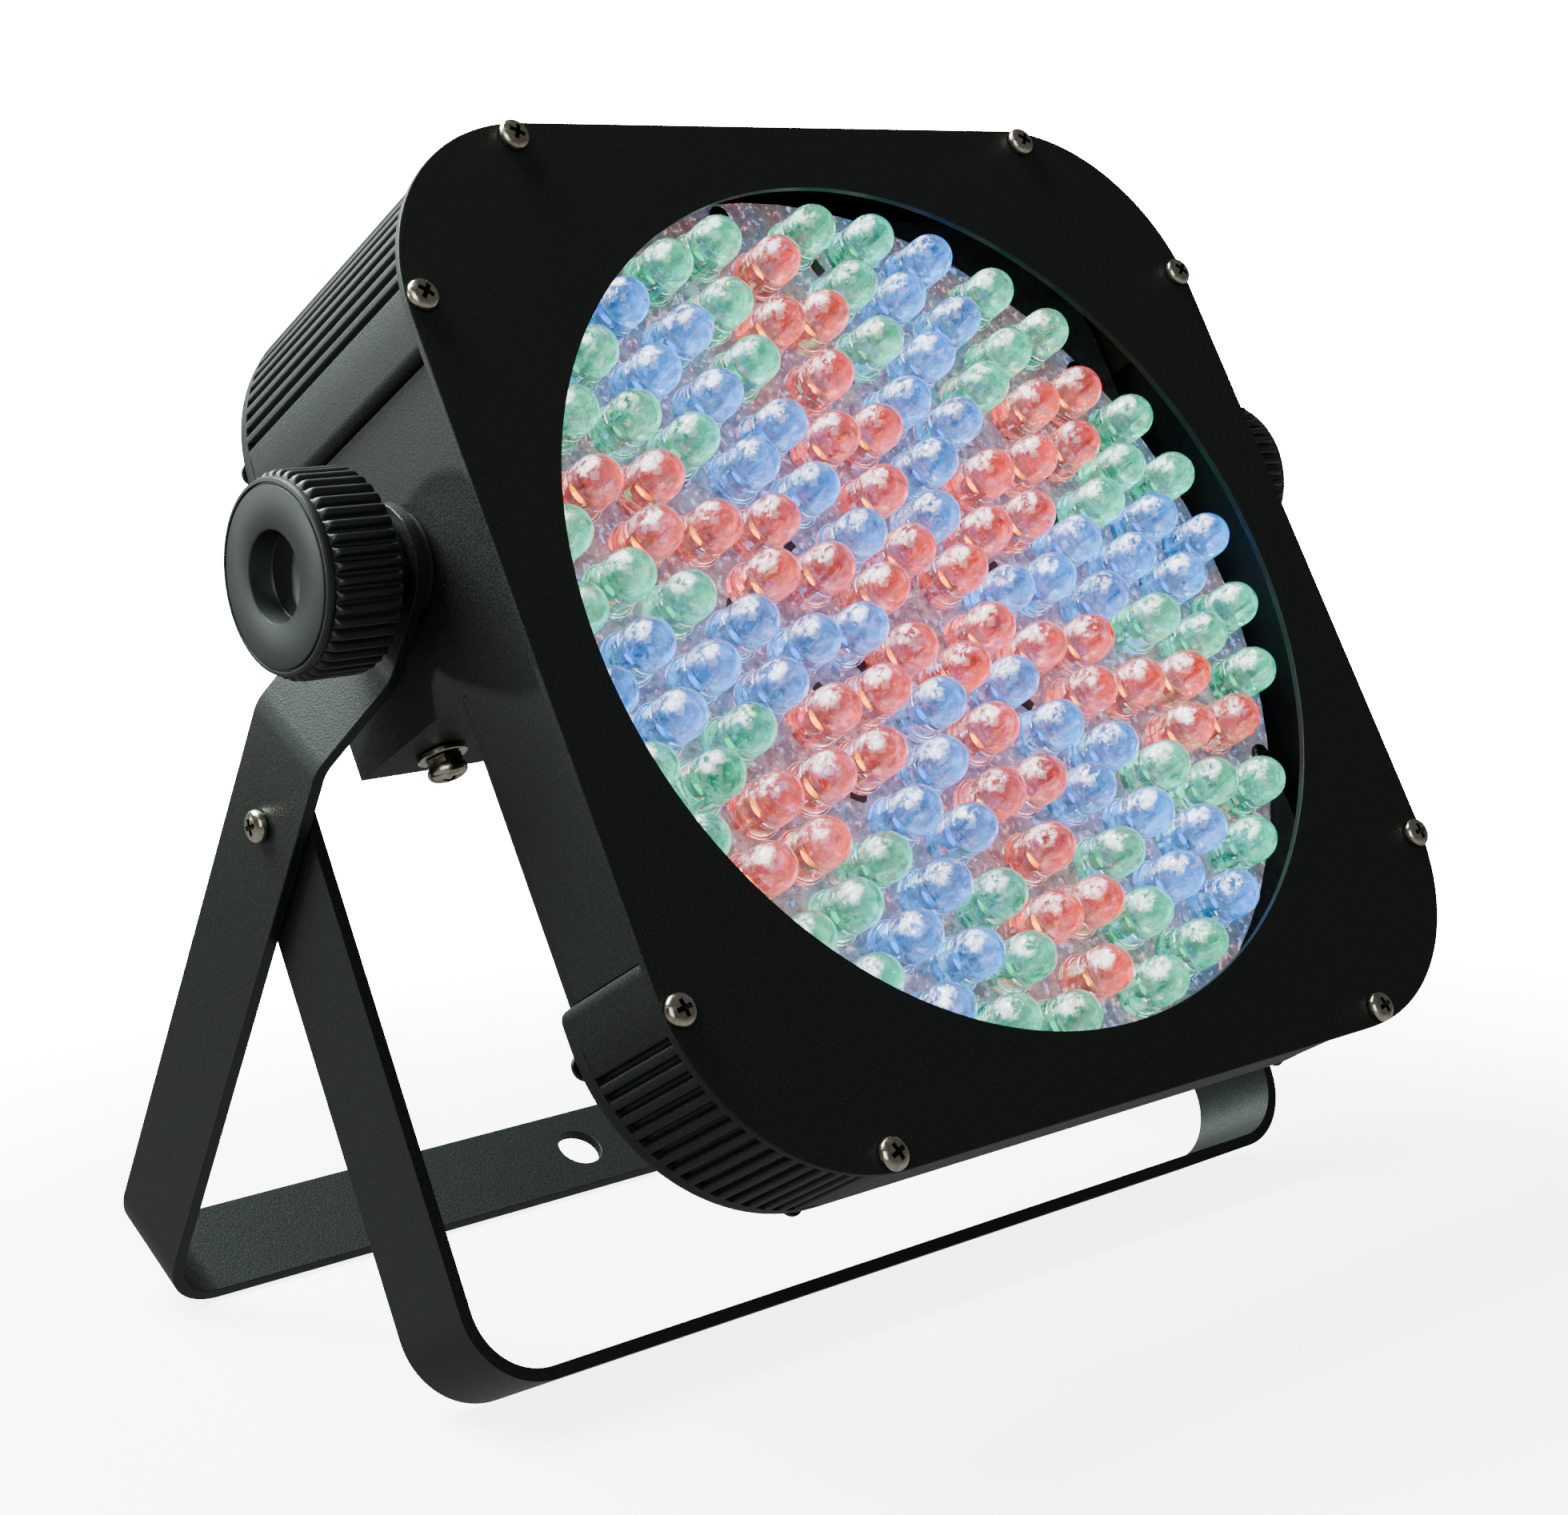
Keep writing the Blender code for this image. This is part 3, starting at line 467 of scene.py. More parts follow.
DARK_STEEL = plated("dark_screw", (0.07, 0.065, 0.06), 0.35, (0.03, 0.03, 0.03))
BRASS = plated("contact_metal", (0.78, 0.66, 0.36), 0.25, (0.6, 0.5, 0.3))
ALUMINIUM = plated("bare_aluminium", (0.66, 0.67, 0.68), 0.38, (0.55, 0.56, 0.57))
GREEN_BOARD = circuit("green_board", (0.012, 0.09, 0.035), (0.05, 0.2, 0.08))


def lamp_resin(name, tint, lit, strength):
    """Clear tinted resin that scatters its own colour in the dome, most on one side, and less towards the foot; the
    one-sided colour is partly painted light, and the emission also paints a white highlight on the upper left flank and
    white glints over the lamp.
    """
    look = Look(name, tint, 0.03, 0.0, IOR=1.5, Transmission_Weight=1.0, Specular_IOR_Level=1.0, Coat_Weight=0.7, Coat_Roughness=0.2)
    haze = look.noise(260.0, 2.0, 0.5)
    look.link(look.ramp(haze, 0.35, 0.75, 0.01, 0.05), look.surface.inputs["Roughness"])
    paler = [0.5 + 0.5 * c for c in tint]
    # the lit attribute is the lamp's glow with its painted one-sided crescent; the tint deepens with it
    inner = look.node("ShaderNodeAttribute", attribute_name="lit").outputs["Fac"]
    tone = look.ramp(inner, 0.0, 0.85, tuple(paler), tuple(tint))
    look.link(look.blend(look.ramp(haze, 0.35, 0.7, 0.0, 0.3), tone, (0.97, 0.97, 0.99)), look.surface.inputs["Base Color"])
    mottled = look.noise(420.0, 3.0, 0.65)
    # painted glints: white specks of emission scattered over the lamp, brighter within the painted highlight
    spark = look.ramp(look.noise(760.0, 2.0, 0.6), 0.6, 0.66, 0.0, 1.0)
    painted_highlight = look.node("ShaderNodeAttribute", attribute_name="painted_highlight").outputs["Fac"]
    # painted highlight: white emission where the highlight attribute is set, broken up by the mottle
    bright = look.maths("MULTIPLY", painted_highlight, look.ramp(mottled, 0.4, 0.6, 0.1, 2.9))
    speck = look.maths("MULTIPLY", spark, look.ramp(painted_highlight, 0.0, 0.5, 0.3, 2.0))
    white = look.maths("ADD", bright, speck)
    look.link(look.blend(look.ramp(white, 0.1, 1.2, 0.0, 1.0), (*lit,), (0.96, 0.98, 1.0)), look.surface.inputs["Emission Color"])
    glowing = look.maths("MULTIPLY", inner, look.ramp(mottled, 0.38, 0.64, 0.25 * strength, 1.75 * strength))
    look.link(look.maths("ADD", glowing, white), look.surface.inputs["Emission Strength"])
    flow = look.noise(420.0, 2.0, 0.5, stretch=(1.0, 0.35, 1.0))
    look.link(look.bump(flow, 0.22, 0.0003), look.surface.inputs["Normal"])
    return look.made


def glow(name, colour, edge, strength):
    """A lit chip in its cup: hot in the middle, the colour's own tone outside."""
    look = Look(name, edge, 0.4)
    fine = look.noise(900.0, 2.0, 0.5)
    look.link(look.blend(look.ramp(fine, 0.3, 0.7, 0.0, 1.0), colour, edge), look.surface.inputs["Emission Color"])
    look.link(look.blend(look.ramp(fine, 0.3, 0.7, 0.0, 1.0), colour, edge), look.surface.inputs["Base Color"])
    look.set("Emission Strength", strength)
    return look.made


def glow_rgb(name):
    return {
        "red": (glow("chip_red", (1.0, 0.5, 0.02), (1.0, 0.2, 0.0), 5.5), lamp_resin("resin_red", (1.0, 0.26, 0.17), (1.0, 0.035, 0.004), 2.5)),
        "green": (glow("chip_green", (0.03, 0.8, 0.35), (0.02, 0.6, 0.3), 1.6), lamp_resin("resin_green", (0.2, 1.0, 0.74), (0.001, 0.9, 0.46), 1.9)),
        "blue": (glow("chip_blue", (0.03, 0.35, 1.0), (0.02, 0.2, 1.0), 2.5), lamp_resin("resin_blue", (0.16, 0.52, 1.0), (0.002, 0.3, 1.0), 3.2)),
    }[name]


# ---------------------------------------------------------------- outlines of the head
def block_side():
    """The rolled-in end of a corner block beside the side panel: x as a function of u."""
    low, high, span = PANEL_HALF + 0.2, BODY_HALF, 2.6
    rolled = [(low + (high - low) * sqrt(1.0 - (1.0 - k / 10) ** 2), PANEL_END + span * k / 10) for k in range(1, 10)]
    return [(low, PANEL_END), *rolled, (high, PANEL_END + span), (high, CORNER_C)]


def block_outline():
    c, r = CORNER_C, CORNER_R
    outer = block_side()
    for k in range(RIBS):
        middle = pi / 4 + (k - (RIBS - 1) / 2) * RIB_PITCH / r
        for side, depth in ((-1.12, 0.0), (-0.92, 0.06), (-0.76, 0.25), (-0.66, 0.6), (-0.55, 1.0), (-0.3, 1.28), (0.0, 1.35)):
            angle = middle + side / r
            outer.append((c + (r - depth) * cos(angle), c + (r - depth) * sin(angle)))
        for side, depth in ((0.3, 1.28), (0.55, 1.0), (0.66, 0.6), (0.76, 0.25), (0.92, 0.06), (1.12, 0.0)):
            angle = middle + side / r
            outer.append((c + (r - depth) * cos(angle), c + (r - depth) * sin(angle)))
    outer += [(c, BODY_HALF), (BLOCK_END - 0.2, BODY_HALF)]
    inner = arc(c, c, r - BLOCK_WALL, 90, 0, 16)
    return outer + [(BLOCK_END - 0.2, BODY_HALF - BLOCK_WALL)] + inner + [(BODY_HALF - BLOCK_WALL, PANEL_END)]


def flipped(outline, right, upper):
    sx, su = (1 if right else -1), (1 if upper else -1)
    turned = [(sx * x, su * u) for x, u in outline]
    return turned if sx * su > 0 else turned[::-1]


def cover_side():
    return [(x - 0.2 * (1 - (x - PANEL_HALF) / 2.0), u) if x < BODY_HALF else (x, u) for x, u in block_side()][:-1] + arc(
        CORNER_C, CORNER_C, CORNER_R, 0, 90, 28
    )


# ---------------------------------------------------------------- screws
def pan_screw(name, look, r=3.15, head=2.15, arm=2.1, width=0.5, depth=1.5, shank=1.2, length=9.0, gap=GAP, recess_shade=None):
    """A pan head with a cross recess; its top points towards -h."""
    top = -gap - head
    dome = []
    for k in range(1, 9):
        a = radians(90.0 * k / 8)
        dome.append((r * (0.12 + 0.88 * sin(a)), top + 0.16 + (head * 0.62) * (1 - cos(a)) ** 1.25))
    profile = [(0, top), *dome, (r, -gap - 0.35), (r - 0.12, -gap), (shank, -gap), (shank, length), (0, length + shank)]
    screw = bpy.data.objects.new(name, lathe(profile, 40, backwards).mesh(name, 30))
    bpy.context.scene.collection.objects.link(screw)
    for turn in (0.35, 0.35 + pi / 2):
        slot = Shape(backwards)
        c, s = cos(turn), sin(turn)

        def bar(half_l, half_w):
            return [(c * a - s * b, s * a + c * b) for a, b in ((-half_l, -half_w), (half_l, -half_w), (half_l, half_w), (-half_l, half_w))]

        wide, narrow = slot.loop(bar(arm, width), top - 0.4), slot.loop(bar(arm * 0.45, width * 0.75), top + depth)
        slot.wall(wide, narrow)
        slot.cap(wide)
        slot.cap(narrow)
        cut(screw, slot)
    mesh = screw.data
    mesh.materials.clear()
    mesh.materials.append(look)
    mesh.materials.append(recess_shade or PAINTED_RECESS_SHADE)
    # faces inside the cross recess take the second, near-black slot: painted shade in the recess
    for face in mesh.polygons:
        centre = face.center / MM
        out = sqrt(centre.x**2 + centre.z**2)
        surface = next((h for rr, h in dome if rr >= out), 0.0)
        if out < arm and centre.y > surface + 0.1 and centre.y < top + depth + 0.1:
            face.material_index = 1
    mesh.set_sharp_from_angle(angle=radians(40))
    bpy.data.objects.remove(screw, do_unlink=True)
    return mesh


def turned(matrix, spin):
    return matrix @ Matrix.Rotation(spin, 4, "Y")


# ---------------------------------------------------------------- build the head
def build_head():
    screws = [(sx * a, su * b) for a, b in ((SCREW_NEAR, SCREW_FAR), (SCREW_FAR, SCREW_NEAR)) for sx in (-1, 1) for su in (-1, 1)]
    outline = round_box(0, 0, PLATE_HALF, PLATE_HALF, PLATE_R, 32)
    holes = [circle(0, 0, WINDOW_R, 192)] + [circle(x, u, 1.75, 20) for x, u in screws]
    piece("face_plate", sheet(outline, 0.0, PLATE_T, holes, 0.25, 0.2), BODY, HEAD, "head", ["front_plate"])
    for upper in (True, False):
        for right in (True, False):
            node = f"corner_block_{'upper' if upper else 'lower'}_{'right' if right else 'left'}"
            shape = Shape()
            line = flipped(block_outline(), right, upper)
            low, high = shape.rise(line, BODY_FRONT, (UPPER_RIM if upper else LOWER_RIM) - GAP)
            shape.cap(low)
            shape.cap(high)
            piece("ribbed_" + node[13:], shape.mesh(node, 50), BODY, HEAD, "head", [node])

    screw = pan_screw("pan_screw", ZINC)
    back = pan_screw("back_pan_screw", DARK_STEEL, 2.6, 1.7, 1.7, 0.4, 1.2)
    for i, (x, u) in enumerate(screws):
        spin = (i * 2.399) % (2 * pi)
        piece(f"face_screw_{i + 1}", screw, None, turned(head_at(x, 0, u), spin), "head", [f"plate_screw_{i + 1}"])
        rear = DEEP_REAR if u > 0 else SLIM_REAR
        matrix = head_at(x, rear, u) @ Matrix.Rotation(pi, 4, "X")
        piece(f"rear_screw_{i + 1}", back, None, turned(matrix, spin + 1.0), "head", [f"cover_screw_{i + 1}"])
    small = pan_screw("board_pan_screw", DARK_STEEL, 2.3, 1.6, 1.4, 0.32, 0.9, 1.1, 5.2)
    for k in range(6):
        a = radians(35 + 60 * k)
        matrix = head_at(BOARD_SCREW_RING * cos(a), BOARD_FRONT, BOARD_SCREW_RING * sin(a))
        piece(f"lamp_board_screw_{k + 1}", small, None, turned(matrix, k * 1.3), "head", [f"board_screw_{k + 1}"])


def build_covers():
    side = cover_side()

    def edge_share(x, u):
        return 1.0 if abs(x) < PANEL_HALF + 0.05 and abs(u) < PANEL_END + 0.05 else 0.16

    def cover(name, node, outline, pocket, rim, rear, rim_bores, sheet_bores, round_r):
        shape = Shape()
        front = last = shape.loop(outline, rim)
        for k in range(9):
            turn = radians(90.0 * k / 8)
            ring = shape.loop(inset(outline, round_r * (1.0 - cos(turn)), edge_share) if k else outline, rear - round_r * (1.0 - sin(turn)))
            shape.wall(last, ring)
            last = ring
        mouth, bottom = shape.rise(pocket, rim, rear - COVER_T)
        a = [shape.rise(b, rim, rear) for b in rim_bores]
        b = [shape.rise(b, rear - COVER_T, rear) for b in sheet_bores]
        shape.cap(front, [mouth] + [low for low, _ in a])
        shape.cap(bottom, [low for low, _ in b])
        shape.cap(last, [high for _, high in a + b])
        piece(name, shape, BODY, HEAD, "head", [node])

    inner = 6.5
    c, r = CORNER_C, CORNER_R - inner - 2.0

    def pocket(low):
        half = [(PANEL_HALF - inner, low)] + arc(c, c, r, 0, 90, 12)
        return half + [(-x, u) for x, u in reversed(half)]

    screws = [(sx * a, b) for a, b in ((SCREW_NEAR, SCREW_FAR), (SCREW_FAR, SCREW_NEAR)) for sx in (-1, 1)]
    upper = [(PANEL_HALF, BOX_FLOOR)] + side + [(-x, u) for x, u in reversed(side)] + [(-PANEL_HALF, BOX_FLOOR)]
    lower = [(PANEL_HALF, -BOX_FLOOR + GAP)] + side + [(-x, u) for x, u in reversed(side)] + [(-PANEL_HALF, -BOX_FLOOR + GAP)]
    lower = [(-x, -u) for x, u in lower]
    bores = [round_box(*DISPLAY_AT, 21.0, 8.0, 0.8, 3)] + [circle(x, BUTTON_UP, 4.4, 32) for x in BUTTON_X]
    cover("deep_back_cover", "upper_rear_cover", upper, pocket(8.5), UPPER_RIM - GAP, DEEP_REAR, [circle(x, u, 1.5, 16) for x, u in screws], bores, 1.5)
    cover("slim_back_cover", "lower_rear_cover", lower, [(-x, -u) for x, u in pocket(6.5)], LOWER_RIM - GAP, SLIM_REAR, [circle(x, -u, 1.5, 16) for x, u in screws], [], 2.4)


# ---------------------------------------------------------------- lamp field
def lamp_meshes():
    """One lamp in its own frame: h runs from the plate's face inwards. Gives (resin, chip, frame, leads)."""
    profile = [(0, 2.5)]
    for k in range(1, 13):
        a = radians(90.0 * k / 12)
        profile.append((4.95 * sin(a), 7.5 - 5.0 * cos(a)))
    profile += [(5.0, 9.0), (5.0, 14.3), (5.08, 14.45), (5.55, 14.5), (5.6, 14.65), (5.6, 15.85), (5.5, 16.0), (0, 16.0)]
    resin = lathe(profile, 30, backwards)
    chip = lathe([(0, 11.6), (0.35, 11.6), (0.62, 11.9), (0.7, 13.2), (0.5, 13.9), (0, 14.0)], 14, backwards)
    frame = Shape()
    # the dished cup on its post, and the second post beside it
    rings = []
    for r, h in ((0.75, 14.1), (1.45, 11.9), (1.6, 11.85), (1.55, 12.1), (1.1, 14.3)):
        rings.append(frame.loop(circle(-0.4, 0.0, r, 14), h))
    for low, high in zip(rings, rings[1:]):
        frame.wall(low, high)
    frame.cap(rings[0])
    frame.cap(rings[-1])
    foot = frame.post(box(-0.9, 0.0, 0.9, 0.3), 15.7, 14.32)
    frame.cap(foot)
    foot = frame.post(box(1.85, 0.0, 0.4, 0.28), 15.7, 11.4)
    frame.cap(foot)
    leads = Shape()
    for x in (-1.27, 1.27):
        foot = leads.post(box(x, 0.0, 0.26, 0.26), 18.0, 16.02)
        leads.cap(foot)
        top = leads.post(circle(x, 0.0, 0.9, 8), 18.0, 17.6)
        leads.cap(top)
    return resin, chip, frame, leads


def scattered(name, shape, places, look, body, replaces=(), angle=40.0, lit=None, painted_highlight=None):
    """Copies of a small shape at (x, u, angle) places of the head, joined in one mesh."""
    whole = Shape()
    values, painted_highlight_values = [], []
    for x, u, turn in places:
        start = len(whole.points)
        c, s = cos(turn), sin(turn)
        for px, pd, pu in shape.points:
            whole.points.append((x + c * px - s * pu, pd, u + s * px + c * pu))
            near = (whole.points[-1][0] - x, pd, whole.points[-1][2] - u)
            values.append(lit(*near) if lit else 0.0)
            painted_highlight_values.append(painted_highlight(*near) if painted_highlight else 0.0)
        whole.faces += [tuple(start + i for i in face) for face in shape.faces]
    mesh = bpy.data.meshes.new(name)
    mesh.from_pydata([Vector(p) * MM for p in whole.points], [], whole.faces)
    # per point: the lamp's glow with its painted one-sided crescent, and the painted highlight
    if lit:
        mesh.attributes.new("lit", "FLOAT", "POINT").data.foreach_set("value", values)
        mesh.attributes.new("painted_highlight", "FLOAT", "POINT").data.foreach_set("value", painted_highlight_values)
    work = bmesh.new()
    work.from_mesh(mesh)
    bmesh.ops.recalc_face_normals(work, faces=work.faces)
    work.to_mesh(mesh)
    work.free()
    mesh.shade_smooth()
    mesh.set_sharp_from_angle(angle=radians(angle))
    return piece(name, mesh, look, HEAD, body, replaces)


def lamp_glow_painted_side(x, d, u):
    """How much a point of a lamp glows: the lamp's own glow with painted light on top, a crescent strongest on the far
    side of its dome standing in for the refracted chip, and a halo low on the opposite side; the dome's glow fades out
    towards its foot.
    """
    # side: the painted crescent, brightest on the far side of the dome
    side = max(0.0, 0.5 + 0.5 * (0.93 * x - 0.36 * u) / 5.0)
    deep = max(0.0, min(1.0, (11.0 - d) / 5.0))
    halo = max(0.0, 1.0 - side) ** 2 * max(0.0, 1.0 - abs(d - 12.5) / 3.5)
    return (0.04 + 0.96 * side**2.7) * deep + 0.5 * halo


def painted_dome_highlight(x, d, u):
    """The painted highlight on the upper left flank of a lamp: a white patch standing in for the reflection of the
    lights, fading down its stem.
    """
    if x * x + u * u < 0.01 and d > 6.8:
        return 0.0
    depth = min(0.0, d - 6.7)
    size = sqrt(x * x + depth * depth + u * u) or 1.0
    facing = (-0.74 * x - 0.46 * depth + 0.49 * u) / size
    edge = max(0.0, min(1.0, (facing - 0.78) / 0.19))
    return edge * edge * (3.0 - 2.0 * edge) * max(0.0, min(1.0, (13.5 - d) / 6.0)) * min(1.0, size / 4.5)


def ring_places(rules):
    for n, (r, start, spread) in enumerate(rules):
        for k in range(6):
            for offset in (-spread, spread) if spread else (0.0,):
                angle = radians(start + offset + 60 * k)
                yield r * cos(angle), r * sin(angle), 0.9 * n + 1.7 * k + offset


def board_look():
    """White solder mask with tinned pads and print, mottled at random; its emission is painted light: a coloured spill
    of the lamps' light and white painted glints.
    """
    look = Look("lamp_board_mask", (0.5, 0.49, 0.51), 0.3)
    fine = look.noise(420.0, 3.0, 0.7)
    broad = look.noise(40.0, 2.0, 0.5)
    tone = look.ramp(fine, 0.4, 0.62, (0.2, 0.19, 0.22), (0.72, 0.7, 0.74))
    look.link(look.blend(look.ramp(broad, 0.35, 0.65, 0.0, 0.45), tone, (0.52, 0.43, 0.5)), look.surface.inputs["Base Color"])
    look.link(look.ramp(fine, 0.4, 0.6, 0.45, 0.14), look.surface.inputs["Roughness"])
    look.link(look.bump(fine, 0.8, 0.0003), look.surface.inputs["Normal"])
    # painted light: the board's emission paints the lamps' coloured spill and white glints
    painted_spill = look.noise(90.0, 2.0, 0.6)
    look.link(look.ramp(painted_spill, 0.4, 0.6, (0.2, 0.42, 1.0), (1.0, 0.32, 0.4)), look.surface.inputs["Emission Color"])
    look.link(look.ramp(look.noise(620.0, 2.0, 0.6), 0.56, 0.68, 0.13, 1.3), look.surface.inputs["Emission Strength"])
    return look.made


def build_lamps():
    resin, chip, frame_, leads = lamp_meshes()
    frame["nodes"]["led_board"].data.materials.clear()
    frame["nodes"]["led_board"].data.materials.append(board_look())
    first = True
    every = []
    for colour, rules in (("red", RED), ("green", GREEN), ("blue", BLUE)):
        places = list(ring_places(rules))
        every += places
        lit, clear = glow_rgb(colour)
        # each lamp's resin carries its glow, partly painted, and a painted highlight
        scattered(f"lamp_resin_{colour}", resin, places, clear, "head", ["led_array"] if first else [], lit=lamp_glow_painted_side, painted_highlight=painted_dome_highlight)
        scattered(f"lamp_chip_{colour}", chip, places, lit, "head", [])
        first = False
    scattered("lamp_frames", frame_, every, STEEL, "head", [])
    scattered("lamp_leads", leads, every, STEEL, "head", [])
    # small resistors where three lamps leave room between them
    part = Shape()
    foot = part.post(box(0, 0, 1.6, 0.85), 17.95, 16.9)
    part.cap(foot)
    spots = []
    for r, a in ((17.5, 20), (30.6, 20), (43.8, 48.0), (56.5, 20.5), (70.0, 20.3), (83.0, 20.8)):
        for k in range(6):
            angle = radians(a + 60 * k)
            spots.append((r * cos(angle), r * sin(angle), angle + 0.6 * k))
    brown = moulded("resistor_body", (0.035, 0.018, 0.012), (0.06, 0.035, 0.025), 0.4, wear=0.0)
    scattered("board_resistors", part, spots, brown, "head", [])


# ---------------------------------------------------------------- knobs
def knob_shape(side):
    flutes, fine = 44, 10
    count = flutes * fine
    core, crest = 17.75, KNOB_R
    shape = Shape(along_x(side))

    def ring(radius, h, ridge=0.0):
        line = []
        for i in range(count):
            a = 2 * pi * i / count
            phase = abs((i % fine) / fine - 0.5) / 0.34
            lift = sqrt(1 - phase * phase) if phase < 1 else 0.0
            r = radius + ridge * lift
            line.append((r * cos(a), r * sin(a)))
        return shape.loop(line, h)

    lift = crest - core
    rings = [shape.loop([(0, 0)], STUD_END)]
    for r, h in ((3.4, STUD_END), (STUD_R, STUD_END + 0.8), (STUD_R, 109.1), (HUB_R - 0.3, 109.1), (HUB_R, 109.4), (HUB_R, KNOB_BACK - 0.4), (HUB_R + 0.4, KNOB_BACK), (core - 1.0, KNOB_BACK)):
        rings.append(ring(r, h))
    rings.append(ring(core, KNOB_BACK + 0.4, lift * 0.35))
    rings.append(ring(core, KNOB_BACK + 0.8, lift * 0.8))
    rings.append(ring(core, KNOB_BACK + 1.4, lift))
    for k in range(1, 5):
        rings.append(ring(core, KNOB_BACK + 1.4 + (KNOB_FACE - 3.2 - KNOB_BACK - 1.4) * k / 4, lift))
    for h, share in ((KNOB_FACE - 2.7, 0.93), (KNOB_FACE - 2.2, 0.72), (KNOB_FACE - 1.85, 0.35), (KNOB_FACE - 1.7, 0.0)):
        rings.append(ring(core, h, lift * share))
    for r, h in (
        (17.9, KNOB_FACE - 1.5), (17.95, KNOB_FACE - 0.8), (17.75, KNOB_FACE - 0.3), (17.35, KNOB_FACE - 0.08), (17.0, KNOB_FACE - 0.1),
        (16.85, KNOB_FACE - 0.55), (16.6, KNOB_FACE - 0.55), (16.4, KNOB_FACE - 0.06), (16.1, KNOB_FACE), (8.9, KNOB_FACE),
        (8.55, KNOB_FACE - 0.12), (8.4, KNOB_FACE - 0.5), (8.2, KNOB_FACE - 4.2), (7.9, KNOB_FACE - 4.6), (6.0, KNOB_FACE - 4.95), (3.0, KNOB_FACE - 5.2),
    ):
        rings.append(ring(r, h))
    rings.append(shape.loop([(0, 0)], KNOB_FACE - 5.25))
    for low, high in zip(rings, rings[1:]):
        if len(low) == 1 or len(high) == 1:
            tip, rim = (low[0], high) if len(low) == 1 else (high[0], low)
            for i in range(count):
                shape.faces.append((rim[i], rim[(i + 1) % count], tip))
        else:
            shape.wall(low, high)
    return shape


def build_knobs():
    for name, sign in (("left", -1), ("right", 1)):
        piece(f"fluted_knob_{name}", knob_shape(sign), KNOB, TILT_AXIS, f"knob_{name}", [f"knob_{name}"])
        washer = lathe([(4.4, 107.3), (8.8, 107.3), (9.0, 107.5), (9.0, 108.6), (8.8, 108.8), (4.4, 108.8)], 64, along_x(sign), ring=True)
        piece(f"plated_washer_{name}", washer, DARK_STEEL, TILT_AXIS, f"knob_washer_{name}", [f"knob_washer_{name}"])
        washer = lathe([(4.4, 102.3), (9.8, 102.3), (10.0, 102.5), (10.0, 104.0), (9.8, 104.2), (4.4, 104.2)], 64, along_x(sign), ring=True)
        piece(f"rubber_washer_{name}", washer, RUBBER, TILT_AXIS, "head", [f"friction_washer_{name}"])


# ---------------------------------------------------------------- brackets
def bent_strip(path, width_at, thickness):
    shape = Shape()
    points = [Vector(p) for p in path]
    rings = []
    for i, here in enumerate(points):
        a = (here - points[max(i - 1, 0)]).normalized() if i else (points[1] - here).normalized()
        b = (points[min(i + 1, len(points) - 1)] - here).normalized() if i < len(points) - 1 else a
        a, b = Vector((-a.y, a.x)), Vector((-b.y, b.x))
        inner = here - (a + b) * thickness / (1.0 + a.dot(b))
        w = width_at[i]
        start = len(shape.points)
        for p, side in ((here, -w), (here, w), (inner, w), (inner, -w)):
            shape.flat.append(Vector((p.x, p.y, 0.0)))
            shape.points.append((p.x, side, -p.y))
        rings.append(list(range(start, start + 4)))
    for low, high in zip(rings, rings[1:]):
        shape.wall(low, high)
    shape.faces += [tuple(rings[0]), tuple(rings[-1])]
    return shape


def bracket_mesh(profile, bend, arm, length):
    half = STRIP_W / 2
    left = [(-x, s) for (x, s), _ in profile]
    left += [
        (-(arm - bend + bend * cos(radians(90.0 * k / 18))), length - bend + bend * sin(radians(90.0 * k / 18))) for k in range(19)
    ]
    path = left + [(-x, s) for x, s in reversed(left)]
    widths = [w for _, w in profile]
    return bent_strip(path, widths + [half] * (len(path) - 2 * len(widths)) + widths[::-1], STRIP_T)


def arm_end(x):
    half = STRIP_W / 2
    return [((x, -half * cos(radians(a))), half * sin(radians(a))) for a in (8, 16, 24, 32, 40, 48, 56, 64, 72, 80, 90)]


def rod(radius, s, count=48):
    return lathe([(0, -140), (radius, -140), (radius, 140), (0, 140)], count, lambda a, b, h: (h, a, b - s), phase=0.03)


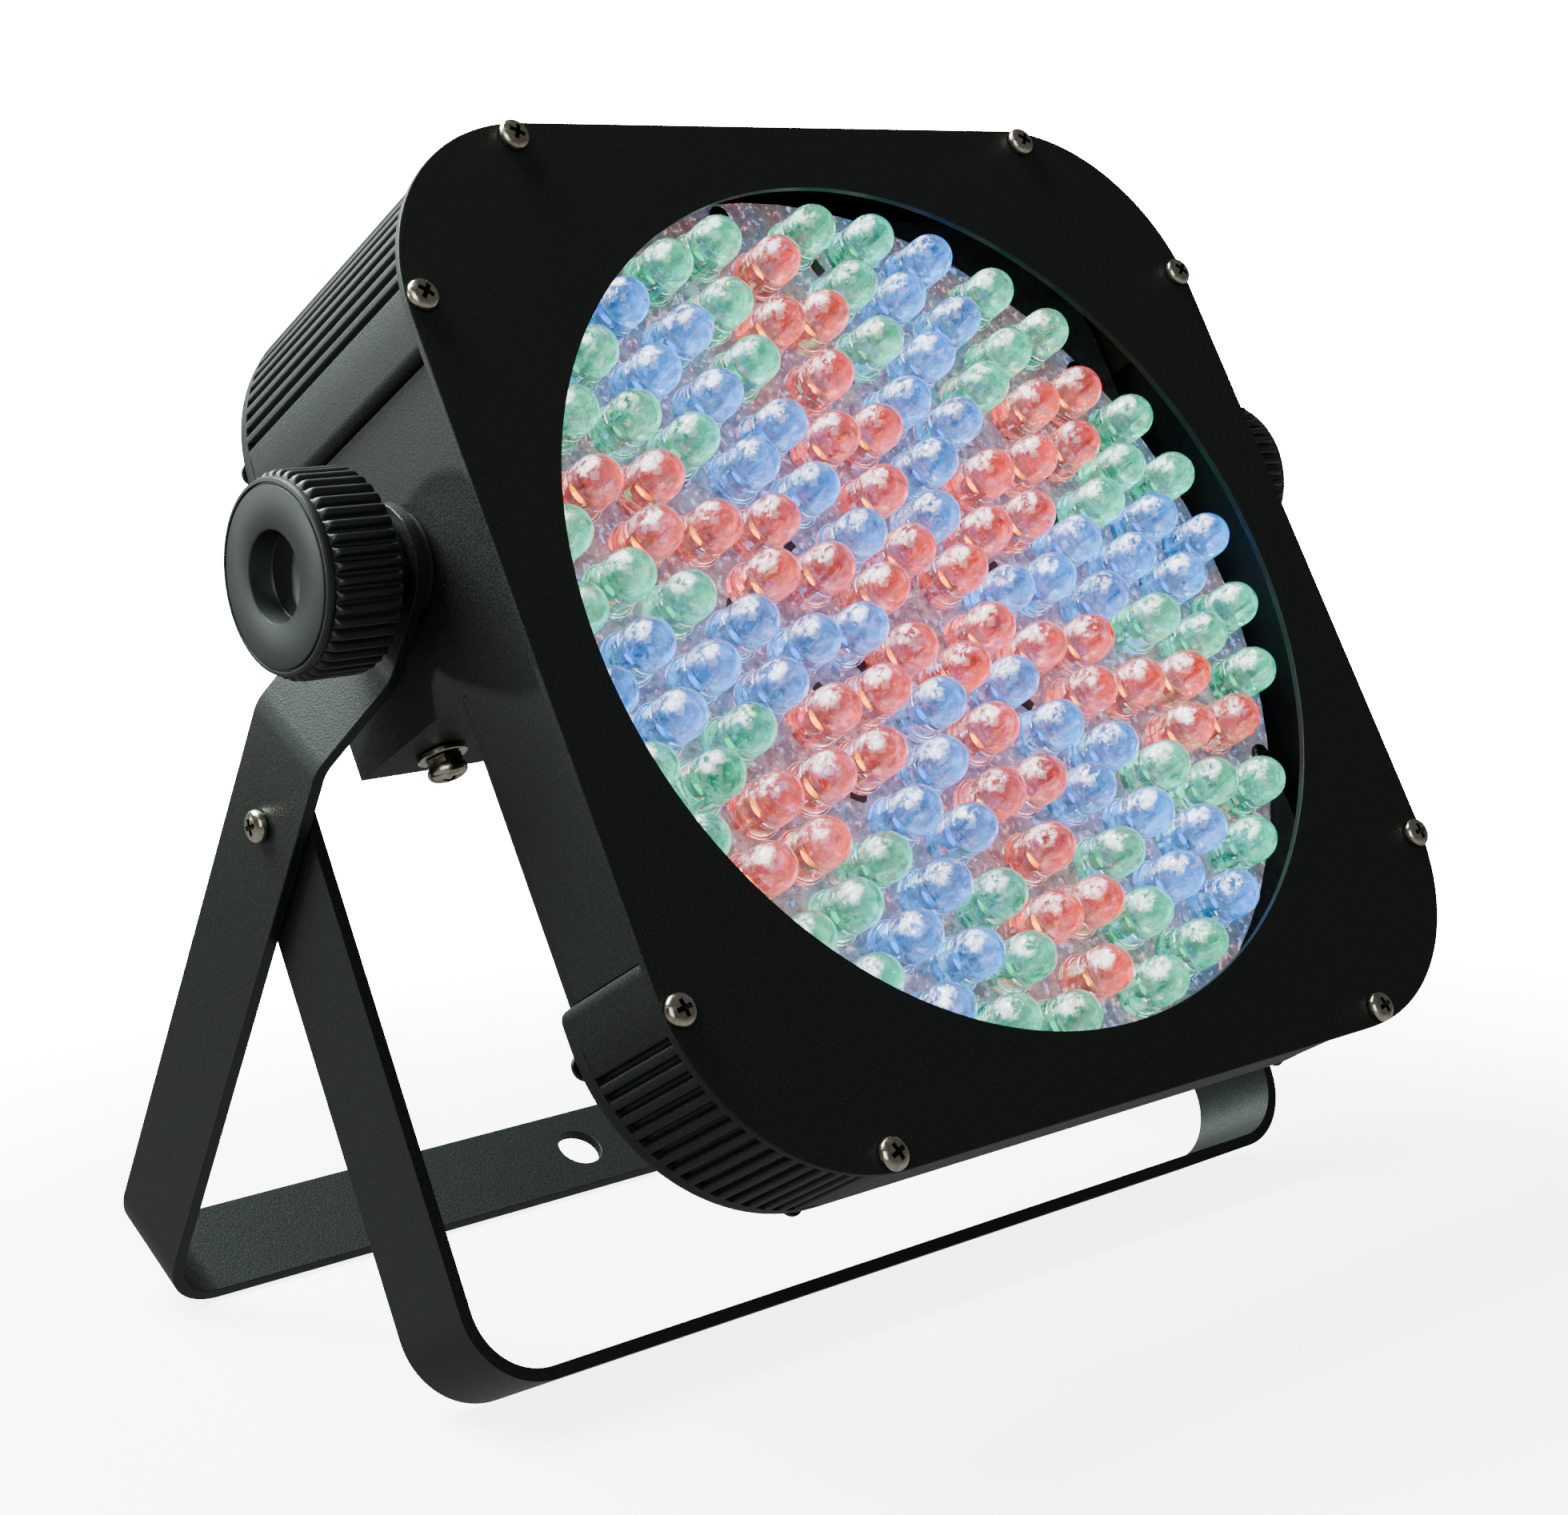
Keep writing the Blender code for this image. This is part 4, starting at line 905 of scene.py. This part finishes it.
def build_brackets():
    half = STRIP_W / 2
    profile = arm_end(REAR_TAB)
    # the two set bends of each arm have a small radius
    for s0, x0, s1, x1 in ((TAB_END, REAR_TAB, ARM_START, REAR_ARM),):
        slope = (x1 - x0) / (s1 - s0)
        for k in range(5):
            t = (k - 2) / 2.0 * 2.2
            x = x0 + (0.0 if t <= 0 else slope * t)
            x += slope * 2.2 / 4 * (1 - abs(t) / 2.2) ** 2 if abs(t) < 2.2 else 0.0
            profile.append(((x, s0 + t), half))
        for k in range(5):
            t = (k - 2) / 2.0 * 2.2
            x = x1 - (0.0 if t >= 0 else slope * -t)
            x -= slope * 2.2 / 4 * (1 - abs(t) / 2.2) ** 2 if abs(t) < 2.2 else 0.0
            profile.append(((x, s1 + t), half))
    rear = piece("rear_yoke", bracket_mesh(profile, REAR_BEND, REAR_ARM, REAR_LENGTH), STRIP, REAR, "rear_bracket", ["rear_bracket"])
    cut(rear, rod(KNOB_HOLE_R, 0.0))
    cut(rear, rod(PIVOT_HOLE_R, PIVOT_S))
    cut(rear, lathe([(0, REAR_LENGTH - 12), (BAR_HOLE_R, REAR_LENGTH - 12), (BAR_HOLE_R, REAR_LENGTH + 12), (0, REAR_LENGTH + 12)], 64, lambda a, b, h: (a, b, -h), phase=0.03))
    soften(rear, 0.28)
    f, a = radians(FRONT_ANGLE), radians(REAR_ANGLE)
    floor_z = AXIS.z / MM - REAR_LENGTH * cos(a) - half * sin(a)
    length = (PIVOT.z / MM - floor_z - half * abs(sin(f))) / cos(f)
    front = piece("front_stand", bracket_mesh(arm_end(FRONT_ARM), FRONT_BEND, FRONT_ARM, length), STRIP, FRONT, "front_bracket", ["front_bracket"])
    cut(front, rod(PIVOT_HOLE_R, 0.0))
    soften(front, 0.28)

    screw = pan_screw("pivot_pan_screw", ZINC, 3.3, 2.3, 2.1, 0.5, 1.5, 2.4, 8.2)
    for name, sign in (("left", -1), ("right", 1)):
        # the screw's own h runs inwards from the arm's outer face
        matrix = REAR @ Matrix.Translation(Vector((sign * 117.85, 0, -PIVOT_S)) * MM) @ Matrix.Rotation(sign * pi / 2, 4, "Z")
        piece(f"pivot_pan_{name}", screw, None, turned(matrix, 0.5 * sign), "rear_bracket", [f"pivot_screw_{name}"])
        nut = Shape(along_x(sign))
        outer0, outer1 = nut.rise([p for p in circle(0, 0, 5.2, 6)], 109.5, 111.9)
        small0, small1 = nut.loop(circle(0, 0, 4.6, 6), 109.3), nut.loop(circle(0, 0, 4.6, 6), 112.1)
        nut.wall(small0, outer0)
        nut.wall(outer1, small1)
        bore0, bore1 = nut.rise(circle(0, 0, 2.6, 24), 109.3, 112.1)
        nut.cap(small0, [bore0])
        nut.cap(small1, [bore1])
        piece(f"pivot_hex_{name}", nut, ZINC, REAR @ Matrix.Translation(Vector((0, 0, -PIVOT_S)) * MM), "rear_bracket", [f"pivot_nut_{name}"])


# ---------------------------------------------------------------- back and underside details
def build_details():
    look = Look("display_glass", (0.02, 0.002, 0.002), 0.08, 0.0, Coat_Weight=0.6)
    shade = look.noise(60.0, 2.0, 0.5)
    look.link(look.ramp(shade, 0.3, 0.7, (0.018, 0.002, 0.002), (0.03, 0.003, 0.003)), look.surface.inputs["Base Color"])
    glass = sheet(round_box(0, 0, 20.6, 7.6, 0.6, 3), -0.28, 0.42, (), 0.15, place=backwards)
    piece("display_glass", glass, look.made, head_at(DISPLAY_AT[0], DEEP_REAR - 0.05, DISPLAY_AT[1]), "head", [])
    lit = glow("display_segments", (0.5, 0.03, 0.015), (0.35, 0.02, 0.01), 0.35)
    digits = Shape()

    def segment(x, u, along):
        a, b = (2.0, 0.42) if along else (0.42, 2.0)
        foot = digits.post(box(x, u, a, b), 0.4, 0.5)
        digits.cap(foot)

    on = {"8": "abcdefg"}
    for n, figure in enumerate("8888"):
        x = 13.5 - 9.0 * n
        spots = {"a": (0, 4.6, 1), "g": (0, 0, 1), "d": (0, -4.6, 1), "b": (-2.6, 2.3, 0), "c": (-2.6, -2.3, 0), "f": (2.6, 2.3, 0), "e": (2.6, -2.3, 0)}
        for key in on[figure]:
            dx, du, along = spots[key]
            segment(x + dx, du, along)
    piece("display_figures", digits, lit, head_at(DISPLAY_AT[0], DEEP_REAR - 0.05, DISPLAY_AT[1]), "head", [])
    inside = DEEP_REAR - COVER_T - GAP
    button = lathe(
        [(0, 62.4), (2.5, 62.4), (2.5, 65.2), (5.2, 65.2), (5.2, inside), (4.0, inside), (4.0, 70.1), (3.85, 70.5), (3.45, 70.75), (2.6, 70.75), (1.6, 70.62), (0, 70.55)],
        40,
        lambda a, b, h: (a, h - DEEP_REAR, b),
    ).mesh("round_button")
    button.materials.append(PLASTIC)
    for i, x in enumerate(BUTTON_X):
        piece(f"round_button_{i + 1}", button, None, head_at(x, DEEP_REAR, BUTTON_UP), f"button_{i + 1}", [f"button_{i + 1}"])
    ground = pan_screw("ground_pan", ZINC, 4.0, 2.6, 2.3, 0.45, 1.4, 2.0, 9.0, gap=0.0)
    floor_up = BOX_FLOOR - GAP
    matrix = head_at(-90.0, 57.0, floor_up - 3.1) @ Matrix.Rotation(pi / 2, 4, "X")
    piece("ground_pan_screw", ground, None, turned(matrix, 0.4), "head", ["ground_screw"])
    washer = lathe([(2.1, 0.0), (4.8, 0.0), (5.0, 0.15), (5.0, 0.85), (4.8, 1.0), (2.1, 1.0)], 48, downwards, ring=True)
    piece("ground_washer", washer, ZINC, head_at(-90.0, 57.0, floor_up), "head", [])
    lock = Shape(downwards)
    rings = [lock.loop(circle(0, 0, r, 6 if n < 4 else 24), h) for n, (r, h) in enumerate(((3.5, 1.05), (3.9, 1.25), (3.9, 2.8), (3.5, 3.0)))]
    bore = [lock.loop(circle(0, 0, 2.1, 24), h) for h in (1.05, 3.0)]
    for low, high in zip(rings, rings[1:]):
        lock.wall(low, high)
    lock.wall(bore[0], bore[1])
    lock.cap(rings[0], [bore[0]])
    lock.cap(rings[-1], [bore[1]])
    piece("ground_lock_nut", lock, ZINC, head_at(-90.0, 57.0, floor_up), "head", [])


def dress_nodes():
    looks = {
        "housing_shell": BODY, "chassis_plate": ALUMINIUM, "power_supply": ALUMINIUM, "driver_board": GREEN_BOARD,
        "display_board": GREEN_BOARD, "dmx_in_socket": PLASTIC, "dmx_out_socket": PLASTIC, "power_inlet": PLASTIC,
        "fuse_holder": PLASTIC, "knob_nut_left": ZINC, "knob_nut_right": ZINC,
    }
    for node, look in looks.items():
        mesh = frame["nodes"][node].data
        mesh.materials.clear()
        mesh.materials.append(look)


# ---------------------------------------------------------------- stage, lights and camera
def build_stage():
    mesh = bpy.data.meshes.new("floor")
    ring = [(3.0 * cos(2 * pi * k / 96), 3.0 * sin(2 * pi * k / 96), 0.0) for k in range(96)]
    mesh.from_pydata(ring, [], [tuple(range(96))])
    floor = bpy.data.objects.new("studio_floor", mesh)
    bpy.context.scene.collection.objects.link(floor)
    floor.visible_glossy = floor.visible_diffuse = floor.visible_transmission = False
    look = Look("studio_floor", (0.8, 0.8, 0.8), 0.9)
    soft = look.noise(3.0, 1.0, 0.5)
    look.link(look.ramp(soft, 0.3, 0.7, (0.78, 0.78, 0.78), (0.82, 0.82, 0.82)), look.surface.inputs["Base Color"])
    look.set("Emission Color", (1.0, 1.0, 1.0, 1.0))
    look.set("Emission Strength", 5.0)
    # the floor thins out into the white of the studio
    far = look.node("ShaderNodeVectorMath", operation="LENGTH")
    look.link(look.coords(), far.inputs[0])
    gone = look.node("ShaderNodeMapRange", interpolation_type="SMOOTHSTEP")
    for key, number in (("From Min", 0.16), ("From Max", 0.55), ("To Min", 0.0), ("To Max", 1.0)):
        gone.inputs[key].default_value = number
    look.link(far.outputs["Value"], gone.inputs["Value"])
    clear, mixed = look.node("ShaderNodeBsdfTransparent"), look.node("ShaderNodeMixShader")
    look.link(gone.outputs["Result"], mixed.inputs[0])
    look.link(look.surface.outputs[0], mixed.inputs[1])
    look.link(clear.outputs[0], mixed.inputs[2])
    look.link(mixed.outputs[0], look.output.inputs["Surface"])
    mesh.materials.append(look.made)

    world = bpy.data.worlds.new("studio")
    bpy.context.scene.world = world
    world.use_nodes = True
    tree = world.node_tree
    back = tree.nodes["Background"]
    path = tree.nodes.new("ShaderNodeLightPath")
    seen = tree.nodes.new("ShaderNodeTexCoord")
    part = tree.nodes.new("ShaderNodeSeparateXYZ")
    dim = tree.nodes.new("ShaderNodeMapRange")
    for key, number in (("From Min", -0.4), ("From Max", 0.15), ("To Min", 0.4), ("To Max", 0.12)):
        dim.inputs[key].default_value = number
    tree.links.new(seen.outputs["Generated"], part.inputs[0])
    tree.links.new(part.outputs["Z"], dim.inputs["Value"])
    mix = tree.nodes.new("ShaderNodeMix")
    mix.data_type = "FLOAT"
    mix.inputs[3].default_value = 30.0
    tree.links.new(path.outputs["Is Camera Ray"], mix.inputs[0])
    tree.links.new(dim.outputs["Result"], mix.inputs[2])
    tree.links.new(mix.outputs[0], back.inputs["Strength"])
    back.inputs["Color"].default_value = (1.0, 1.0, 1.0, 1.0)

    def area(name, at, aim, size, power, colour=(1, 1, 1)):
        light = bpy.data.lights.new(name, "AREA")
        light.shape, light.size, light.size_y = "RECTANGLE", size[0], size[1]
        light.energy, light.color = power, colour
        lamp = bpy.data.objects.new(name, light)
        bpy.context.scene.collection.objects.link(lamp)
        lamp.location = at
        lamp.rotation_euler = (Vector(aim) - Vector(at)).to_track_quat("-Z", "Y").to_euler()
        return lamp

    area("key_left", (-0.36, 0.6, 1.05), (0.0, 0.0, 0.14), (0.8, 0.8), 84.0, (0.95, 1.0, 0.96))
    area("front_left", (-1.5, -1.3, 0.9), (0.0, 0.0, 0.14), (1.4, 1.4), 25.0, (0.95, 1.0, 0.96))
    beam = bpy.data.lights.new("back_left", "SPOT")
    beam.energy, beam.spot_size, beam.spot_blend, beam.shadow_soft_size = 14.0, radians(15.0), 1.0, 0.06
    beam.color = (0.97, 1.0, 0.97)
    lamp = bpy.data.objects.new("back_left", beam)
    bpy.context.scene.collection.objects.link(lamp)
    lamp.location = (-0.78, 0.82, 0.26)
    lamp.rotation_euler = (Vector((-0.1, 0.0, 0.235)) - lamp.location).to_track_quat("-Z", "Y").to_euler()


def build_camera():
    data = bpy.data.cameras.new("view")
    data.lens, data.sensor_width, data.sensor_fit = 65.589, 36.0, "AUTO"
    data.clip_start = 0.01
    camera = bpy.data.objects.new("view", data)
    bpy.context.scene.collection.objects.link(camera)
    camera.location = (-0.39388, -0.44808, 0.19841)
    camera.rotation_euler = Euler((radians(81.55697), radians(2.52563), radians(-41.26711)), "XYZ")
    bpy.context.scene.camera = camera


build_camera()
build_stage()
dress_nodes()
build_head()
build_covers()
build_lamps()
build_knobs()
build_brackets()
build_details()
bpy.context.view_layer.update()
